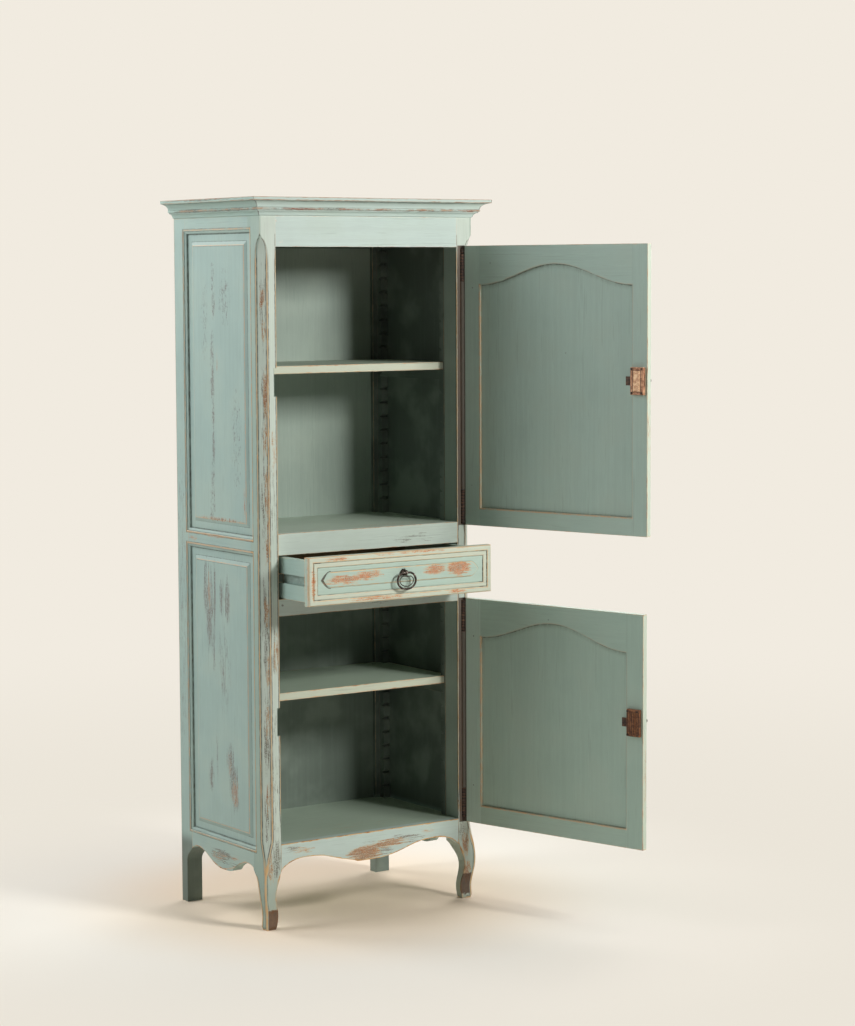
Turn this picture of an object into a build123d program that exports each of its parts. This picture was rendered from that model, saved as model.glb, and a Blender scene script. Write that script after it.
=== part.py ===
from build123d import *
from math import sqrt
import os

os.makedirs("parts", exist_ok=True)

# The origin is on the floor under the middle of the carcass. X runs to the right, Y to the
# back and Z up. The doors stand open and the drawer is pulled part of the way out.

# ---- whole carcass ----
total_height = 1800.0
body_width = 627.0
body_depth = 417.0
cornice_height = 45.0
cornice_overhang = 39.0
cornice_rest = 22.0
cover_thickness = 14.0
body_top = total_height - cornice_height
half_width = body_width / 2
front = -body_depth / 2
back = body_depth / 2

# ---- posts and legs ----
front_post_width = 45.0
front_post_depth = 55.0
rear_post_width = 60.0
rear_post_depth = 55.0
opening_half = half_width - front_post_width
rear_opening_half = half_width - rear_post_width
side_start = front + front_post_depth
side_end = back - rear_post_depth
knee_top = 205.0
leg_spring = 147.0
cant_leg = 20.0
cant_foot_point = 137.0
cant_foot_full = 228.0
cant_head_gap = 43.0
cant_point_length = 50.0
cant_head_point = body_top - cant_head_gap
cant_head_full = cant_head_point - cant_point_length
leg_toe = 4.5
rear_ankle = 108.0
rear_foot_width = 43.5
rear_foot_depth = 27.0

# ---- front rails, heights of their edges ----
frieze_height = 74.0
frieze_bottom = body_top - frieze_height
mid_rail = (929.0, 982.0)
drawer_rail = (779.0, 821.0)
apron_top = 212.0
front_rail_thickness = 24.0
joint_tenon = 8.0
tenon_length = 20.0
tenon_shoulder = 6.0
tenon_set_back = 8.0

# ---- side frames ----
side_thickness = 26.5
inside_half = half_width - side_thickness
sticking_width = 11.5
sticking_depth = 6.6
side_top_rail_height = 39.5
side_top_rail_sight = body_top - side_top_rail_height
side_mid_rail_sight = (926.0, 974.0)
side_apron_sight = 201.5
panel_recess = 9.5
panel_tongue = 8.0
groove_depth = 8.0
bevel_outer = 19.5
bevel_inner = 29.5
field_height = 4.5
panel_gap = 0.5

# ---- boards ----
board_thickness = 18.0
dust_board = (786.0, 798.0)
back_rebate = 43.5
back_panel_thickness = 12.0
back_rail_thickness = 24.0
back_tongue = 6.0
back_bottom_rail = 152.0
back_face = back - back_rebate

# ---- shelves, racks and bearers ----
shelf_thickness = 19.0
shelf_bottoms = (559.0, 1370.0)
shelf_front = front + 58.0
shelf_gap = 1.0
rack_size = 20.0
rack_pitch = 36.4
notch_depth = 10.0
notch_mouth = 9.0
notch_throat = 4.0
bearer_height = 26.0
bearer_gap = 0.3
rack_head_gap = 55.0
rack_spans = ((apron_top, drawer_rail[0]), (mid_rail[1], body_top - rack_head_gap))

# ---- doors ----
hinge_set_in = 27.5
door_free_lap = 13.5
door_foot_lap = 8.0
upper_head_lap = 3.0
lower_head_lap = 6.0
hinge_x = half_width - hinge_set_in
door_width = hinge_x + opening_half + door_free_lap
door_thickness = 18.0
door_stand_off = 0.5
upper_door = (mid_rail[1] - door_foot_lap, frieze_bottom + upper_head_lap)
lower_door = (apron_top - door_foot_lap, drawer_rail[0] + lower_head_lap)
upper_open_angle = 106.3
lower_open_angle = 104.8
hinge_stile_widths = (56.0, 57.0)
lock_stile_widths = (45.0, 51.0)
top_rail_widths = (99.0, 96.5)
bottom_rail_widths = (45.0, 47.0)
arch_rises = (52.0, 51.5)
door_tenon = 24.0
door_arris = 5.0
door_recess = 6.0
door_tongue = 6.0
door_groove = 6.0
door_sticking = 9.0
door_sticking_depth = 4.2
sticking_overrun = 0.8
door_field_height = 3.0
nose_slope = 0.45

# ---- hinges, each set in from the door's foot or head ----
upper_foot_hinge = (3.0, 90.0)
upper_head_hinge = (90.0, 21.0)
lower_foot_hinge = (21.0, 88.0)
lower_head_hinge = (87.0, 5.0)
barrel_radius = 5.5
barrel_relief = 0.5
pin_radius = 2.5
pin_gap = 0.05
knuckle_gap = 0.4
hinge_leaf = 2.0
post_leaf = (4.0, 30.0)
door_leaf = (3.0, 35.0)
finial_length = 17.0

# ---- locks ----
lock_width = 38.0
lock_set_in = 6.0
lock_case = (door_width - lock_set_in - lock_width, door_width - lock_set_in)
lock_height = 67.0
lock_depth = 10.0
lock_wall = 1.5
spindle_set_in = 23.0
spindle_at = door_width - spindle_set_in
spindle_radius = 2.5
spindle_gap = 0.05
bolt_plate = 3.0
bolt_height = 22.0
bolt_tail = 15.0
bolt_throw = 8.0
bolt_gap = 0.3
upper_lock_z = 1352.5
lower_lock_z = 518.0
lock_face_rise = 1.2
lock_pocket_gap = 1.2
strike_gap = 0.6
screw_shank = 1.5
screw_head = 3.0
finger_reach = bolt_throw / 2 * sqrt(2)
finger_radius = 1.1

# ---- drawer ----
drawer_pull_out = 124.0
drawer_front_lap = 3.0
drawer_foot_lap = 4.5
drawer_head_lap = 6.0
drawer_front_half = opening_half + drawer_front_lap
drawer_front_z = (drawer_rail[1] - drawer_foot_lap, mid_rail[0] + drawer_head_lap)
drawer_front_thickness = 19.5
drawer_side_room = 8.5
drawer_foot_room = 2.5
drawer_head_room = 4.0
drawer_half = opening_half - drawer_side_room
drawer_side_z = (drawer_rail[1] + drawer_foot_room, mid_rail[0] - drawer_head_room)
drawer_side = 15.0
drawer_rear_room = 33.5
drawer_length = back_face - front - drawer_rear_room
drawer_lap = 10.0
drawer_bottom_rise = 5.5
drawer_bottom_thickness = 7.0
drawer_bottom_low = drawer_side_z[0] + drawer_bottom_rise
drawer_bottom_z = (drawer_bottom_low, drawer_bottom_low + drawer_bottom_thickness)
runner_rise = 38.5
runner_groove_height = 23.0
runner_groove_low = drawer_side_z[0] + runner_rise
runner_groove_z = (runner_groove_low, runner_groove_low + runner_groove_height)
runner_groove = 8.0
runner_gap = 0.5
thumb_inset = 13.5
bead_inset = 25.5
scratch_width = 1.6
scratch_depth = 1.2
lozenge_inset = 62.5
lozenge_point = 22.0
lozenge_half = drawer_front_half - lozenge_inset
lozenge_tip = lozenge_half + lozenge_point
lozenge_height = 37.0

# ---- ring pull ----
pull_x = 3.5
pull_rise = 66.5
pull_z = drawer_front_z[0] + pull_rise
pull_shank = 2.5
pull_reach = 14.0
ring_rod = 2.2
ring_gap = 0.05
ring_half = 26.8
ring_drop = 40.6
ring_straight = 7.5
eye_half = 5.0
eye_radius = 4.6


# ======== helpers ========
def block(x, y, z):
    corner = (min(x), min(y), min(z))
    size = (abs(x[1] - x[0]), abs(y[1] - y[0]), abs(z[1] - z[0]))
    return Pos(*corner) * Box(*size, align=(Align.MIN, Align.MIN, Align.MIN))


def both_sides(shape):
    return Compound([*shape.solids(), *mirror(shape, about=Plane.YZ).solids()])


def other_side(shape):
    return mirror(shape, about=Plane.YZ)


def ring_of(lines):
    edges = [edge for line in lines for edge in line.edges()]
    return Face(Wire(edges))


# an outline in the front view, pushed back along Y
def from_front(lines, y):
    face = ring_of(lines)
    return Pos(0, y[0], 0) * extrude(face, amount=y[1] - y[0], dir=(0, 1, 0))


# an outline in the side view, pushed along X
def from_side(lines, x):
    face = ring_of(lines)
    return Pos(x[0], 0, 0) * extrude(face, amount=x[1] - x[0], dir=(1, 0, 0))


def front_line(*points):
    return Polyline(*[(a, 0, z) for a, z in points])


def front_curve(*points, tangents=None):
    flat = None if tangents is None else [(a, 0, z) for a, z in tangents]
    return Spline(*[(a, 0, z) for a, z in points], tangents=flat)


def side_line(*points):
    return Polyline(*[(0, a, z) for a, z in points])


def side_curve(*points, tangents=None):
    flat = None if tangents is None else [(0, a, z) for a, z in tangents]
    return Spline(*[(0, a, z) for a, z in points], tangents=flat)


def rod(radius, start, end):
    direction = Vector(*end) - Vector(*start)
    place = Plane(origin=start, z_dir=direction)
    return place * Cylinder(radius, direction.length, align=(Align.CENTER, Align.CENTER, Align.MIN))


# moulded edge: a quirk, a small bead and an ovolo, cut round a path on the face
def sticking_cut(path, start, inward, outward, width, depth):
    tangent = Vector(*inward).cross(Vector(*outward))
    place = Plane(origin=start, x_dir=inward, z_dir=tangent)
    bead = 0.38 * width
    quirk = 0.22 * depth
    over = 0.6
    lines = [
        Polyline((over + width, -depth), (over + width, 1), (0, 1), (0, -quirk)),
        ThreePointArc((0, -quirk), (bead / 2, -0.05 * depth), (bead, -quirk)),
        Line((bead, -quirk), (bead, -1.7 * quirk)),
        ThreePointArc((bead, -1.7 * quirk), (0.74 * width, -0.55 * depth), (width, -depth)),
        Line((width, -depth), (over + width, -depth)),
    ]
    profile = place * ring_of(lines)
    return sweep(profile, path=path, transition=Transition.RIGHT)


# ======== carcass ========
# how far the leg's outer faces swell past the post, from the knee down to the toe
def leg_swell():
    return ((0, knee_top), (1.5, 152), (5.0, 104), (0.8, 65), (-3.0, 38), (-2.2, 8))


def front_leg():
    swell = leg_swell()
    outer = [(half_width + out, z) for out, z in swell]
    inner = ((32.5, 8), (36.3, 40), (31.5, 61), (27.0, 88), (32.0, 113), (39.5, 133))
    inner = [(half_width - w, z) for w, z in inner]
    inner.append((opening_half, leg_spring))
    lines = [
        front_line((opening_half, leg_spring), (opening_half, knee_top), outer[0]),
        front_curve(*outer, tangents=((0, -1), (0.1, -1))),
        front_line(outer[-1], (half_width - leg_toe, 0), (inner[0][0] + 2, 0), inner[0]),
        front_curve(*inner, tangents=((-0.3, 1), (-0.75, 1))),
    ]
    from_the_front = from_front(lines, (front - cant_leg, side_start + cant_leg))
    outer = [(front - out, z) for out, z in swell]
    rear = ((25.5, 8), (24.0, 45), (25.0, 90), (29.0, 111), (38.5, 130))
    rear = [(front + w, z) for w, z in rear]
    rear.append((side_start, leg_spring))
    lines = [
        side_line((side_start, leg_spring), (side_start, knee_top), outer[0]),
        side_curve(*outer, tangents=((0, -1), (-0.1, -1))),
        side_line(outer[-1], (front + leg_toe, 0), (rear[0][0] - 2, 0), rear[0]),
        side_curve(*rear, tangents=((-0.1, 1), (0.8, 1))),
    ]
    from_the_side = from_side(lines, (opening_half - cant_leg, half_width + cant_leg))
    return from_the_front & from_the_side


# the corner of a front post is planed to a flat that runs out to a point at both ends
def corner_cant():
    flat = cant_leg / sqrt(2)
    clear = 14.0
    plane = Plane(origin=(half_width, front, 0), x_dir=(-1, 1, 0), z_dir=(1, 1, 0))
    lines = [
        Line((flat, cant_foot_full), (flat, cant_head_full)),
        ThreePointArc((flat, cant_head_full), (0.7 * flat, cant_head_point - 22), (0, cant_head_point)),
        Polyline((0, cant_head_point), (-clear, cant_head_point), (-clear, cant_foot_point),
                 (-5, cant_foot_point)),
        ThreePointArc((-5, cant_foot_point), (0.46 * flat, cant_foot_full - 48), (flat, cant_foot_full)),
    ]
    return extrude(plane * ring_of(lines), amount=2 * cant_leg, both=True)


def front_rail_tenon(z):
    y = (front + tenon_set_back, front + tenon_set_back + joint_tenon)
    return block((opening_half, opening_half + tenon_length), y, z)


def front_tenon_heights():
    return (
        (frieze_bottom + tenon_shoulder, body_top - tenon_shoulder),
        (mid_rail[0] + tenon_shoulder, mid_rail[1] - tenon_shoulder),
        (drawer_rail[0] + tenon_shoulder, drawer_rail[1] - tenon_shoulder),
        (leg_spring + 2 * tenon_shoulder, apron_top - tenon_shoulder),
    )


def tongue_x():
    return (half_width - panel_recess - panel_tongue, half_width - panel_recess)


def side_tenon_heights():
    return (
        (side_top_rail_sight + groove_depth + 2, body_top - tenon_shoulder),
        (side_mid_rail_sight[0] + groove_depth + 2, side_mid_rail_sight[1] - groove_depth - 2),
        (leg_spring + 2 * tenon_shoulder, side_apron_sight - groove_depth - 2),
    )


def side_tenons(z):
    near = block(tongue_x(), (side_start - tenon_length, side_start), z)
    far = block(tongue_x(), (side_end, side_end + tenon_length), z)
    return near, far


def side_openings():
    lower = (side_apron_sight, side_mid_rail_sight[0])
    upper = (side_mid_rail_sight[1], side_top_rail_sight)
    return lower, upper


def side_groove(z):
    y = (side_start - groove_depth, side_end + groove_depth)
    return block(tongue_x(), y, (z[0] - groove_depth, z[1] + groove_depth))


def side_sticking(z):
    y = (side_start - sticking_width, side_end + sticking_width)
    z = (z[0] - sticking_width, z[1] + sticking_width)
    x = half_width
    middle = (y[0] + y[1]) / 2
    path = Polyline((x, middle, z[0]), (x, y[1], z[0]), (x, y[1], z[1]), (x, y[0], z[1]),
                    (x, y[0], z[0]), (x, middle, z[0]))
    return sticking_cut(path, (x, middle, z[0]), (0, 0, 1), (1, 0, 0), sticking_width, sticking_depth)


def side_frame_cuts():
    cuts = []
    for z in side_openings():
        cuts.append(side_groove(z))
        cuts.append(side_sticking(z))
    return cuts


def back_frame_heights():
    return (
        (frieze_bottom, body_top),
        mid_rail,
        (back_bottom_rail, apron_top),
    )


def back_tenon(z):
    y = (back_face + tenon_set_back, back_face + tenon_set_back + joint_tenon)
    z = (z[0] + 2 * tenon_shoulder, z[1] - 2 * tenon_shoulder)
    return block((rear_opening_half, rear_opening_half + tenon_length), y, z)


def back_panel_heights():
    return ((apron_top, mid_rail[0]), (mid_rail[1], frieze_bottom))


def back_tongue_y():
    start = back_face + (back_panel_thickness - back_tongue) / 2
    return (start, start + back_tongue)


def back_groove(z):
    x = rear_opening_half + groove_depth
    return block((-x, x), back_tongue_y(), (z[0] - groove_depth, z[1] + groove_depth))


def hinge_groove(door):
    radius = barrel_radius + barrel_relief
    return rod(radius, (hinge_x, front, door[0] - 1), (hinge_x, front, door[1] + 1))


def lock_pocket(lock_z):
    x = hinge_x - lock_case[1] - lock_pocket_gap
    half = lock_height / 2 + lock_pocket_gap
    deep = lock_depth - door_stand_off + lock_face_rise + lock_pocket_gap
    pocket = block((x, -opening_half), (front, front + deep), (lock_z - half, lock_z + half))
    half = bolt_height / 2 + strike_gap
    reach = x - bolt_throw - 2 * strike_gap
    depth = bolt_depths()
    y = (front - depth[1] - strike_gap, front - depth[0] + strike_gap)
    return pocket + block((reach, x), y, (lock_z - half, lock_z + half))


def make_front_posts():
    post = block((opening_half, half_width), (front, side_start), (knee_top, body_top))
    post = post + front_leg()
    post = post - corner_cant()
    for cut in side_frame_cuts():
        post = post - cut
    for z in front_tenon_heights():
        post = post - front_rail_tenon(z)
    for z in side_tenon_heights():
        post = post - side_tenons(z)[0]
    right = post
    for door in (upper_door, lower_door):
        right = right - hinge_groove(door)
    for _, leaf in post_hinge_leaves():
        right = right - leaf
    left = other_side(post)
    for lock_z in (upper_lock_z, lower_lock_z):
        left = left - lock_pocket(lock_z)
    return left, right


def make_rear_post():
    x = half_width - rear_foot_width
    y = back - rear_foot_depth
    post = block((rear_opening_half, half_width), (side_end, back), (leg_spring, body_top))
    lines = [
        front_line((x, rear_ankle), (x, 0), (half_width, 0), (half_width, leg_spring),
                   (rear_opening_half, leg_spring)),
        front_curve((rear_opening_half, leg_spring), (x, rear_ankle), tangents=((0.6, -1), (0, -1))),
    ]
    foot = from_front(lines, (side_end, back))
    lines = [
        side_line((y, rear_ankle), (y, 0), (back, 0), (back, leg_spring), (side_end, leg_spring)),
        side_curve((side_end, leg_spring), (y, rear_ankle), tangents=((0.8, -1), (0, -1))),
    ]
    post = post + (foot & from_side(lines, (rear_opening_half, half_width)))
    for cut in side_frame_cuts():
        post = post - cut
    for z in side_tenon_heights():
        post = post - side_tenons(z)[1]
    for z in back_frame_heights():
        post = post - back_tenon(z)
    for z in back_panel_heights():
        post = post - back_groove(z)
    return post


def front_rail(z, tenon_z):
    rail = block((-opening_half, opening_half), (front, front + front_rail_thickness), z)
    tenon = front_rail_tenon(tenon_z)
    return rail + tenon + other_side(tenon)


def make_front_rails():
    heights = ((frieze_bottom, body_top), mid_rail, drawer_rail)
    return [front_rail(z, tenon) for z, tenon in zip(heights, front_tenon_heights())]


# the front apron's lower edge rises to a shallow arch each side of a flat middle drop
def make_front_apron():
    shape = ((0, 141), (0.186, 144.5), (0.354, 155), (0.54, 168.5), (0.685, 172), (0.842, 169))
    right = [(share * opening_half, z) for share, z in shape]
    right.append((opening_half, leg_spring))
    left = [(-x, z) for x, z in reversed(right)]
    lines = [
        front_line((opening_half, leg_spring), (opening_half, apron_top),
                   (-opening_half, apron_top), (-opening_half, leg_spring)),
        front_curve(*left, tangents=((1, 0.9), (1, 0))),
        front_curve(*right, tangents=((1, 0), (1, -0.9))),
    ]
    rail = from_front(lines, (front, front + front_rail_thickness))
    tenon = front_rail_tenon(front_tenon_heights()[-1])
    return rail + tenon + other_side(tenon)


def side_rail(rail, tenon_z):
    near, far = side_tenons(tenon_z)
    rail = rail + near + far
    for cut in side_frame_cuts():
        rail = rail - cut
    return rail


def make_side_rails():
    x = (inside_half, half_width)
    y = (side_start, side_end)
    top = block(x, y, (side_top_rail_sight, body_top))
    mid = block(x, y, side_mid_rail_sight)
    heights = side_tenon_heights()
    return side_rail(top, heights[0]), side_rail(mid, heights[1])


def make_side_apron():
    centre = (side_start + side_end) / 2
    near = ((side_start, leg_spring), (front + 86, 156), (front + 116, 150.5), (front + 152, 133),
            (centre, 119))
    far = [(2 * centre - y, z) for y, z in reversed(near)]
    lines = [
        side_line((side_end, leg_spring), (side_end, side_apron_sight),
                  (side_start, side_apron_sight), (side_start, leg_spring)),
        side_curve(*near, tangents=((1, 0.8), (1, 0))),
        side_curve(*far, tangents=((1, 0), (1, -0.8))),
    ]
    rail = from_side(lines, (inside_half, half_width))
    return side_rail(rail, side_tenon_heights()[2])


def frame_rect(x, y, z, inset):
    y = (y[0] + inset, y[1] - inset)
    z = (z[0] + inset, z[1] - inset)
    corners = ((x, y[0], z[0]), (x, y[1], z[0]), (x, y[1], z[1]), (x, y[0], z[1]))
    return Face(Wire.make_polygon(corners, close=True))


# a panel that floats in the frame's groove, flush inside and raised to a field outside
def make_side_panel(z):
    y = (side_start, side_end)
    edge = groove_depth - panel_gap
    surface = half_width - panel_recess
    tongue = block(tongue_x(), (y[0] - edge, y[1] + edge), (z[0] - edge, z[1] + edge))
    gap = 0.3
    body = block((inside_half, tongue_x()[0]), (y[0] + gap, y[1] - gap), (z[0] + gap, z[1] - gap))
    low = frame_rect(surface, y, z, bevel_outer)
    high = frame_rect(surface + field_height, y, z, bevel_inner)
    return tongue + body + loft([low, high], ruled=True)


def make_back_rails():
    rails = []
    for z in back_frame_heights():
        x = (-rear_opening_half, rear_opening_half)
        rail = block(x, (back_face, back_face + back_rail_thickness), z)
        tenon = back_tenon(z)
        rail = rail + tenon + other_side(tenon)
        for panel_z in back_panel_heights():
            rail = rail - back_groove(panel_z)
        rails.append(rail)
    return Compound([solid for rail in rails for solid in rail.solids()])


def make_back_panel(z):
    edge = groove_depth - panel_gap
    x = rear_opening_half
    body = block((-x, x), (back_face, back_face + back_panel_thickness), z)
    return body + block((-x - edge, x + edge), back_tongue_y(), (z[0] - edge, z[1] + edge))


# a board let in between the sides, cut round the four posts
def fitted_board(z):
    board = block((-inside_half, inside_half), (front + front_rail_thickness, back_face), z)
    near = block((opening_half, half_width), (front, side_start), z)
    far = block((rear_opening_half, half_width), (side_end, back), z)
    for corner in (near, far):
        board = board - corner - other_side(corner)
    return board


def make_top_board():
    x = half_width - cornice_rest
    return block((-x, x), (front + cornice_rest, back), (body_top, body_top + cover_thickness))


# cornice section: fillet, step, cove, bead and a small ogee, out from the carcass face
def cornice_section():
    top = total_height
    drop = top - body_top
    lines = [
        Polyline((-cornice_rest, top), (cornice_overhang, top), (cornice_overhang - 1, top - 8),
                 (29, top - 10.5)),
        ThreePointArc((29, top - 10.5), (19.5, top - 16.5), (16, top - 25.5)),
        ThreePointArc((16, top - 25.5), (17.4, top - 27.6), (16, top - 29.7)),
        Polyline((16, top - 29.7), (13.6, top - 30.5), (13.6, top - 33)),
        ThreePointArc((13.6, top - 33), (5.6, top - 37), (3.5, top - 42.5)),
        Polyline((3.5, top - 42.5), (0, top - drop), (-cornice_rest, top - drop),
                 (-cornice_rest, top)),
    ]
    return ring_of(lines)


def make_cornice():
    section = cornice_section()
    reach = cornice_overhang + 1
    long = 2 * (half_width + reach)
    deep = body_depth + reach
    run_x = Plane(origin=(half_width + reach, front, 0), x_dir=(0, -1, 0), z_dir=(-1, 0, 0))
    run_y = Plane(origin=(half_width, back, 0), x_dir=(1, 0, 0), z_dir=(0, -1, 0))
    front_run = extrude(run_x * section, amount=long, dir=(-1, 0, 0))
    side_run = extrude(run_y * section, amount=deep, dir=(0, -1, 0))
    z = body_top - 1
    tall = cornice_height + 2
    x_in = half_width - cornice_rest
    x_out = half_width + reach
    y_in = front + cornice_rest
    y_out = front - reach
    mitre = Polyline((-x_in, y_in, z), (x_in, y_in, z), (x_out, y_out, z), (-x_out, y_out, z),
                     (-x_in, y_in, z))
    front_room = extrude(ring_of([mitre]), amount=tall, dir=(0, 0, 1))
    mitre = Polyline((x_in, y_in, z), (x_out, y_out, z), (x_out, back, z), (x_in, back, z),
                     (x_in, y_in, z))
    side_room = extrude(ring_of([mitre]), amount=tall, dir=(0, 0, 1))
    right = side_run & side_room
    return front_run & front_room, other_side(right), right


# side-hung runners, one each side, that the drawer's side grooves ride on
def make_drawer_runners():
    x = (drawer_half - runner_groove + runner_gap, opening_half)
    z = (runner_groove_z[0] + runner_gap, runner_groove_z[1] - runner_gap)
    return both_sides(block(x, (front + 2, side_end), z))


# ======== shelves on notched racks ========
def notch_levels(span, shelf_bottom):
    first = shelf_bottom - bearer_height
    while first - rack_pitch > span[0] + notch_mouth:
        first = first - rack_pitch
    levels = []
    while first + notch_mouth < span[1] - 6:
        levels.append(first)
        first = first + rack_pitch
    return levels


def notch(y, facing, z, x):
    inner = y + facing * notch_depth
    lines = [side_line((y, z), (inner, z), (inner, z + notch_throat), (y, z + notch_mouth), (y, z))]
    return from_side(lines, x)


def rack(y, facing, span, levels):
    x = (inside_half - rack_size, inside_half)
    strip = block(x, (y, y + facing * rack_size), span)
    cuts = [notch(y, facing, z, x) for z in levels]
    return strip - cuts


def rack_faces():
    return ((side_start + rack_size, -1), (side_end - rack_size, 1))


def make_shelf_racks():
    strips = []
    for span, bottom in zip(rack_spans, shelf_bottoms):
        levels = notch_levels(span, bottom)
        for y, facing in rack_faces():
            strips.append(rack(y, facing, span, levels))
    solids = [solid for strip in strips for solid in strip.solids()]
    return both_sides(Compound(solids))


# a bearer spans from notch to notch along a side and carries the shelf's end
def make_shelf_bearers():
    x = (inside_half - rack_size + 1, inside_half - 0.5)
    near = side_start + rack_size
    far = side_end - rack_size
    reach = notch_depth - bearer_gap
    bearers = []
    for bottom in shelf_bottoms:
        z = bottom - bearer_height
        high = z + notch_mouth - bearer_gap
        throat = z + notch_throat - bearer_gap
        lines = [side_line((near - reach, z), (far + reach, z), (far + reach, throat),
                           (far - 0.5, high), (far - 0.5, bottom), (near + 0.5, bottom),
                           (near + 0.5, high), (near - reach, throat), (near - reach, z))]
        bearers.append(from_side(lines, x))
    return both_sides(Compound([solid for bearer in bearers for solid in bearer.solids()]))


def make_shelf(bottom):
    z = (bottom, bottom + shelf_thickness)
    half = inside_half - shelf_gap
    shelf = block((-half, half), (shelf_front, back_face - shelf_gap), z)
    x = (inside_half - rack_size - shelf_gap, half_width)
    near = block(x, (front, side_start + rack_size + shelf_gap), z)
    far = block(x, (side_end - rack_size - shelf_gap, back), z)
    post = block((rear_opening_half - shelf_gap, half_width), (side_end - shelf_gap, back), z)
    for corner in (near, far, post):
        shelf = shelf - corner - other_side(corner)
    return shelf


# ======== hinges ========
# each hinge: bottom, top, and whether a finial closes its top or its foot
def hinge_pair(door, foot, head, finials):
    return (
        (door[0] + foot[0], door[0] + foot[1], finials[0]),
        (door[1] - head[0], door[1] - head[1], finials[1]),
    )


def hinge_heights():
    return {
        "upper": hinge_pair(upper_door, upper_foot_hinge, upper_head_hinge, ("", "top")),
        "lower": hinge_pair(lower_door, lower_foot_hinge, lower_head_hinge, ("foot", "")),
    }


def hinge_split(hinge):
    return (hinge[0] + hinge[1]) / 2


def finial(z, up):
    way = 1 if up else -1
    neck = 2.6
    bulb = 4.6
    half = [
        (0, 0), (neck + 0.6, 0), (neck, 1.5), (bulb, 6.5), (neck - 0.6, 12.0), (1.6, finial_length - 2),
    ]
    lines = [
        Polyline((0, z), (half[1][0], z), (half[2][0], z + way * half[2][1])),
        ThreePointArc(*[(r, z + way * h) for r, h in half[2:5]]),
        Polyline((half[4][0], z + way * half[4][1]), (half[5][0], z + way * half[5][1]),
                 (0, z + way * finial_length), (0, z)),
    ]
    edges = [edge for line in lines for edge in line.edges()]
    face = Plane.XZ * Face(Wire(edges))
    return revolve(face, Axis.Z)


def post_hinge_leaves():
    leaves = []
    for pair in hinge_heights().values():
        for hinge in pair:
            z = (hinge[0] + 4, hinge_split(hinge) - 4)
            x = (hinge_x - hinge_leaf / 2, hinge_x + hinge_leaf / 2)
            leaves.append((hinge, block(x, (front + post_leaf[0], front + post_leaf[1]), z)))
    return leaves


def make_post_hinges():
    halves = []
    for hinge, leaf in post_hinge_leaves():
        middle = hinge_split(hinge) - knuckle_gap / 2
        half = rod(barrel_radius, (0, 0, hinge[0]), (0, 0, middle))
        half = half + rod(pin_radius, (0, 0, middle), (0, 0, hinge[1] - 8))
        if hinge[2] == "foot":
            half = half + finial(hinge[0], False)
        half = Pos(hinge_x, front, 0) * half
        halves.append(half + leaf)
    return Compound([solid for half in halves for solid in half.solids()])


# ======== doors, built shut round the hinge axis: t runs to the free edge, s outwards ========
def leaf_block(t, s, z):
    return block((-t[1], -t[0]), (-s[1], -s[0]), z)


def door_faces():
    return (door_stand_off, door_stand_off + door_thickness)


def tongue_depths():
    start = door_stand_off + door_recess
    return (start, start + door_tongue)


# the panel outline: straight sides and a serpentine top that rises to the middle
def arched_lines(t, z, rise, grow):
    t = (t[0] - grow, t[1] + grow)
    low = z[0] - grow
    shoulder = z[1] + grow
    middle = (t[0] + t[1]) / 2
    quarter = (t[1] - t[0]) / 4
    right = front_curve((-t[0], shoulder), (-t[0] - quarter, shoulder + rise / 2),
                        (-middle, shoulder + rise), tangents=((-1, 0), (-1, 0)))
    left = front_curve((-middle, shoulder + rise), (-t[1] + quarter, shoulder + rise / 2),
                       (-t[1], shoulder), tangents=((-1, 0), (-1, 0)))
    foot = front_line((-t[1], shoulder), (-t[1], low), (-t[0], low), (-t[0], shoulder))
    return [right, left, foot]


def arched_slab(t, z, rise, grow, s):
    return from_front(arched_lines(t, z, rise, grow), (-s[1], -s[0]))


# nose round the hinge axis, joined to the stile by a web that slopes clear of the post
def stile_nose(z):
    reach = door_faces()[1]
    nose = rod(barrel_radius, (0, 0, z[0]), (0, 0, z[1]))
    edge = Polyline((-0.1, 0, z[0]), (-nose_slope * reach, -reach, z[0]), (-14, -reach, z[0]),
                    (-14, -door_stand_off, z[0]), (-barrel_radius, -door_stand_off, z[0]),
                    (-barrel_radius, 0, z[0]), (-0.1, 0, z[0]))
    web = extrude(ring_of([edge]), amount=z[1] - z[0], dir=(0, 0, 1))
    return nose + web


def door_hinge_leaf(hinge):
    z = (hinge_split(hinge) + 4, hinge[1] - 4)
    return leaf_block(door_leaf, (2.4, 2.4 + hinge_leaf), z)


def door_sticking_cut(t, z, rise):
    s = door_faces()[1]
    middle = (t[0] + t[1]) / 2
    low = z[0] - door_sticking
    lines = arched_lines(t, z, rise, door_sticking)
    right, left, foot = lines
    corners = [(-t[1] - door_sticking, -s), (-t[0] + door_sticking, -s)]
    shoulder = z[1] + door_sticking
    path = [
        Line((-middle, -s, low), (corners[0][0], -s, low)),
        Line((corners[0][0], -s, low), (corners[0][0], -s, shoulder)),
        Pos(0, -s, 0) * left,
        Pos(0, -s, 0) * right,
        Line((corners[1][0], -s, shoulder), (corners[1][0], -s, low)),
        Line((corners[1][0], -s, low), (-middle, -s, low)),
    ]
    wire = Wire([edge for line in path for edge in line.edges()])
    start = (-middle, -s, low)
    width = door_sticking + sticking_overrun
    return sticking_cut(wire, start, (0, 0, 1), (0, -1, 0), width, door_sticking_depth)


def rounded_outside(blank, z):
    s = door_faces()[1]
    edges = blank.edges().filter_by(Axis.Z).filter_by_position(Axis.Y, -s - 0.1, -s + 0.1)
    edge = edges.sort_by(Axis.X)[0]
    return fillet(edge, door_arris)


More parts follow.
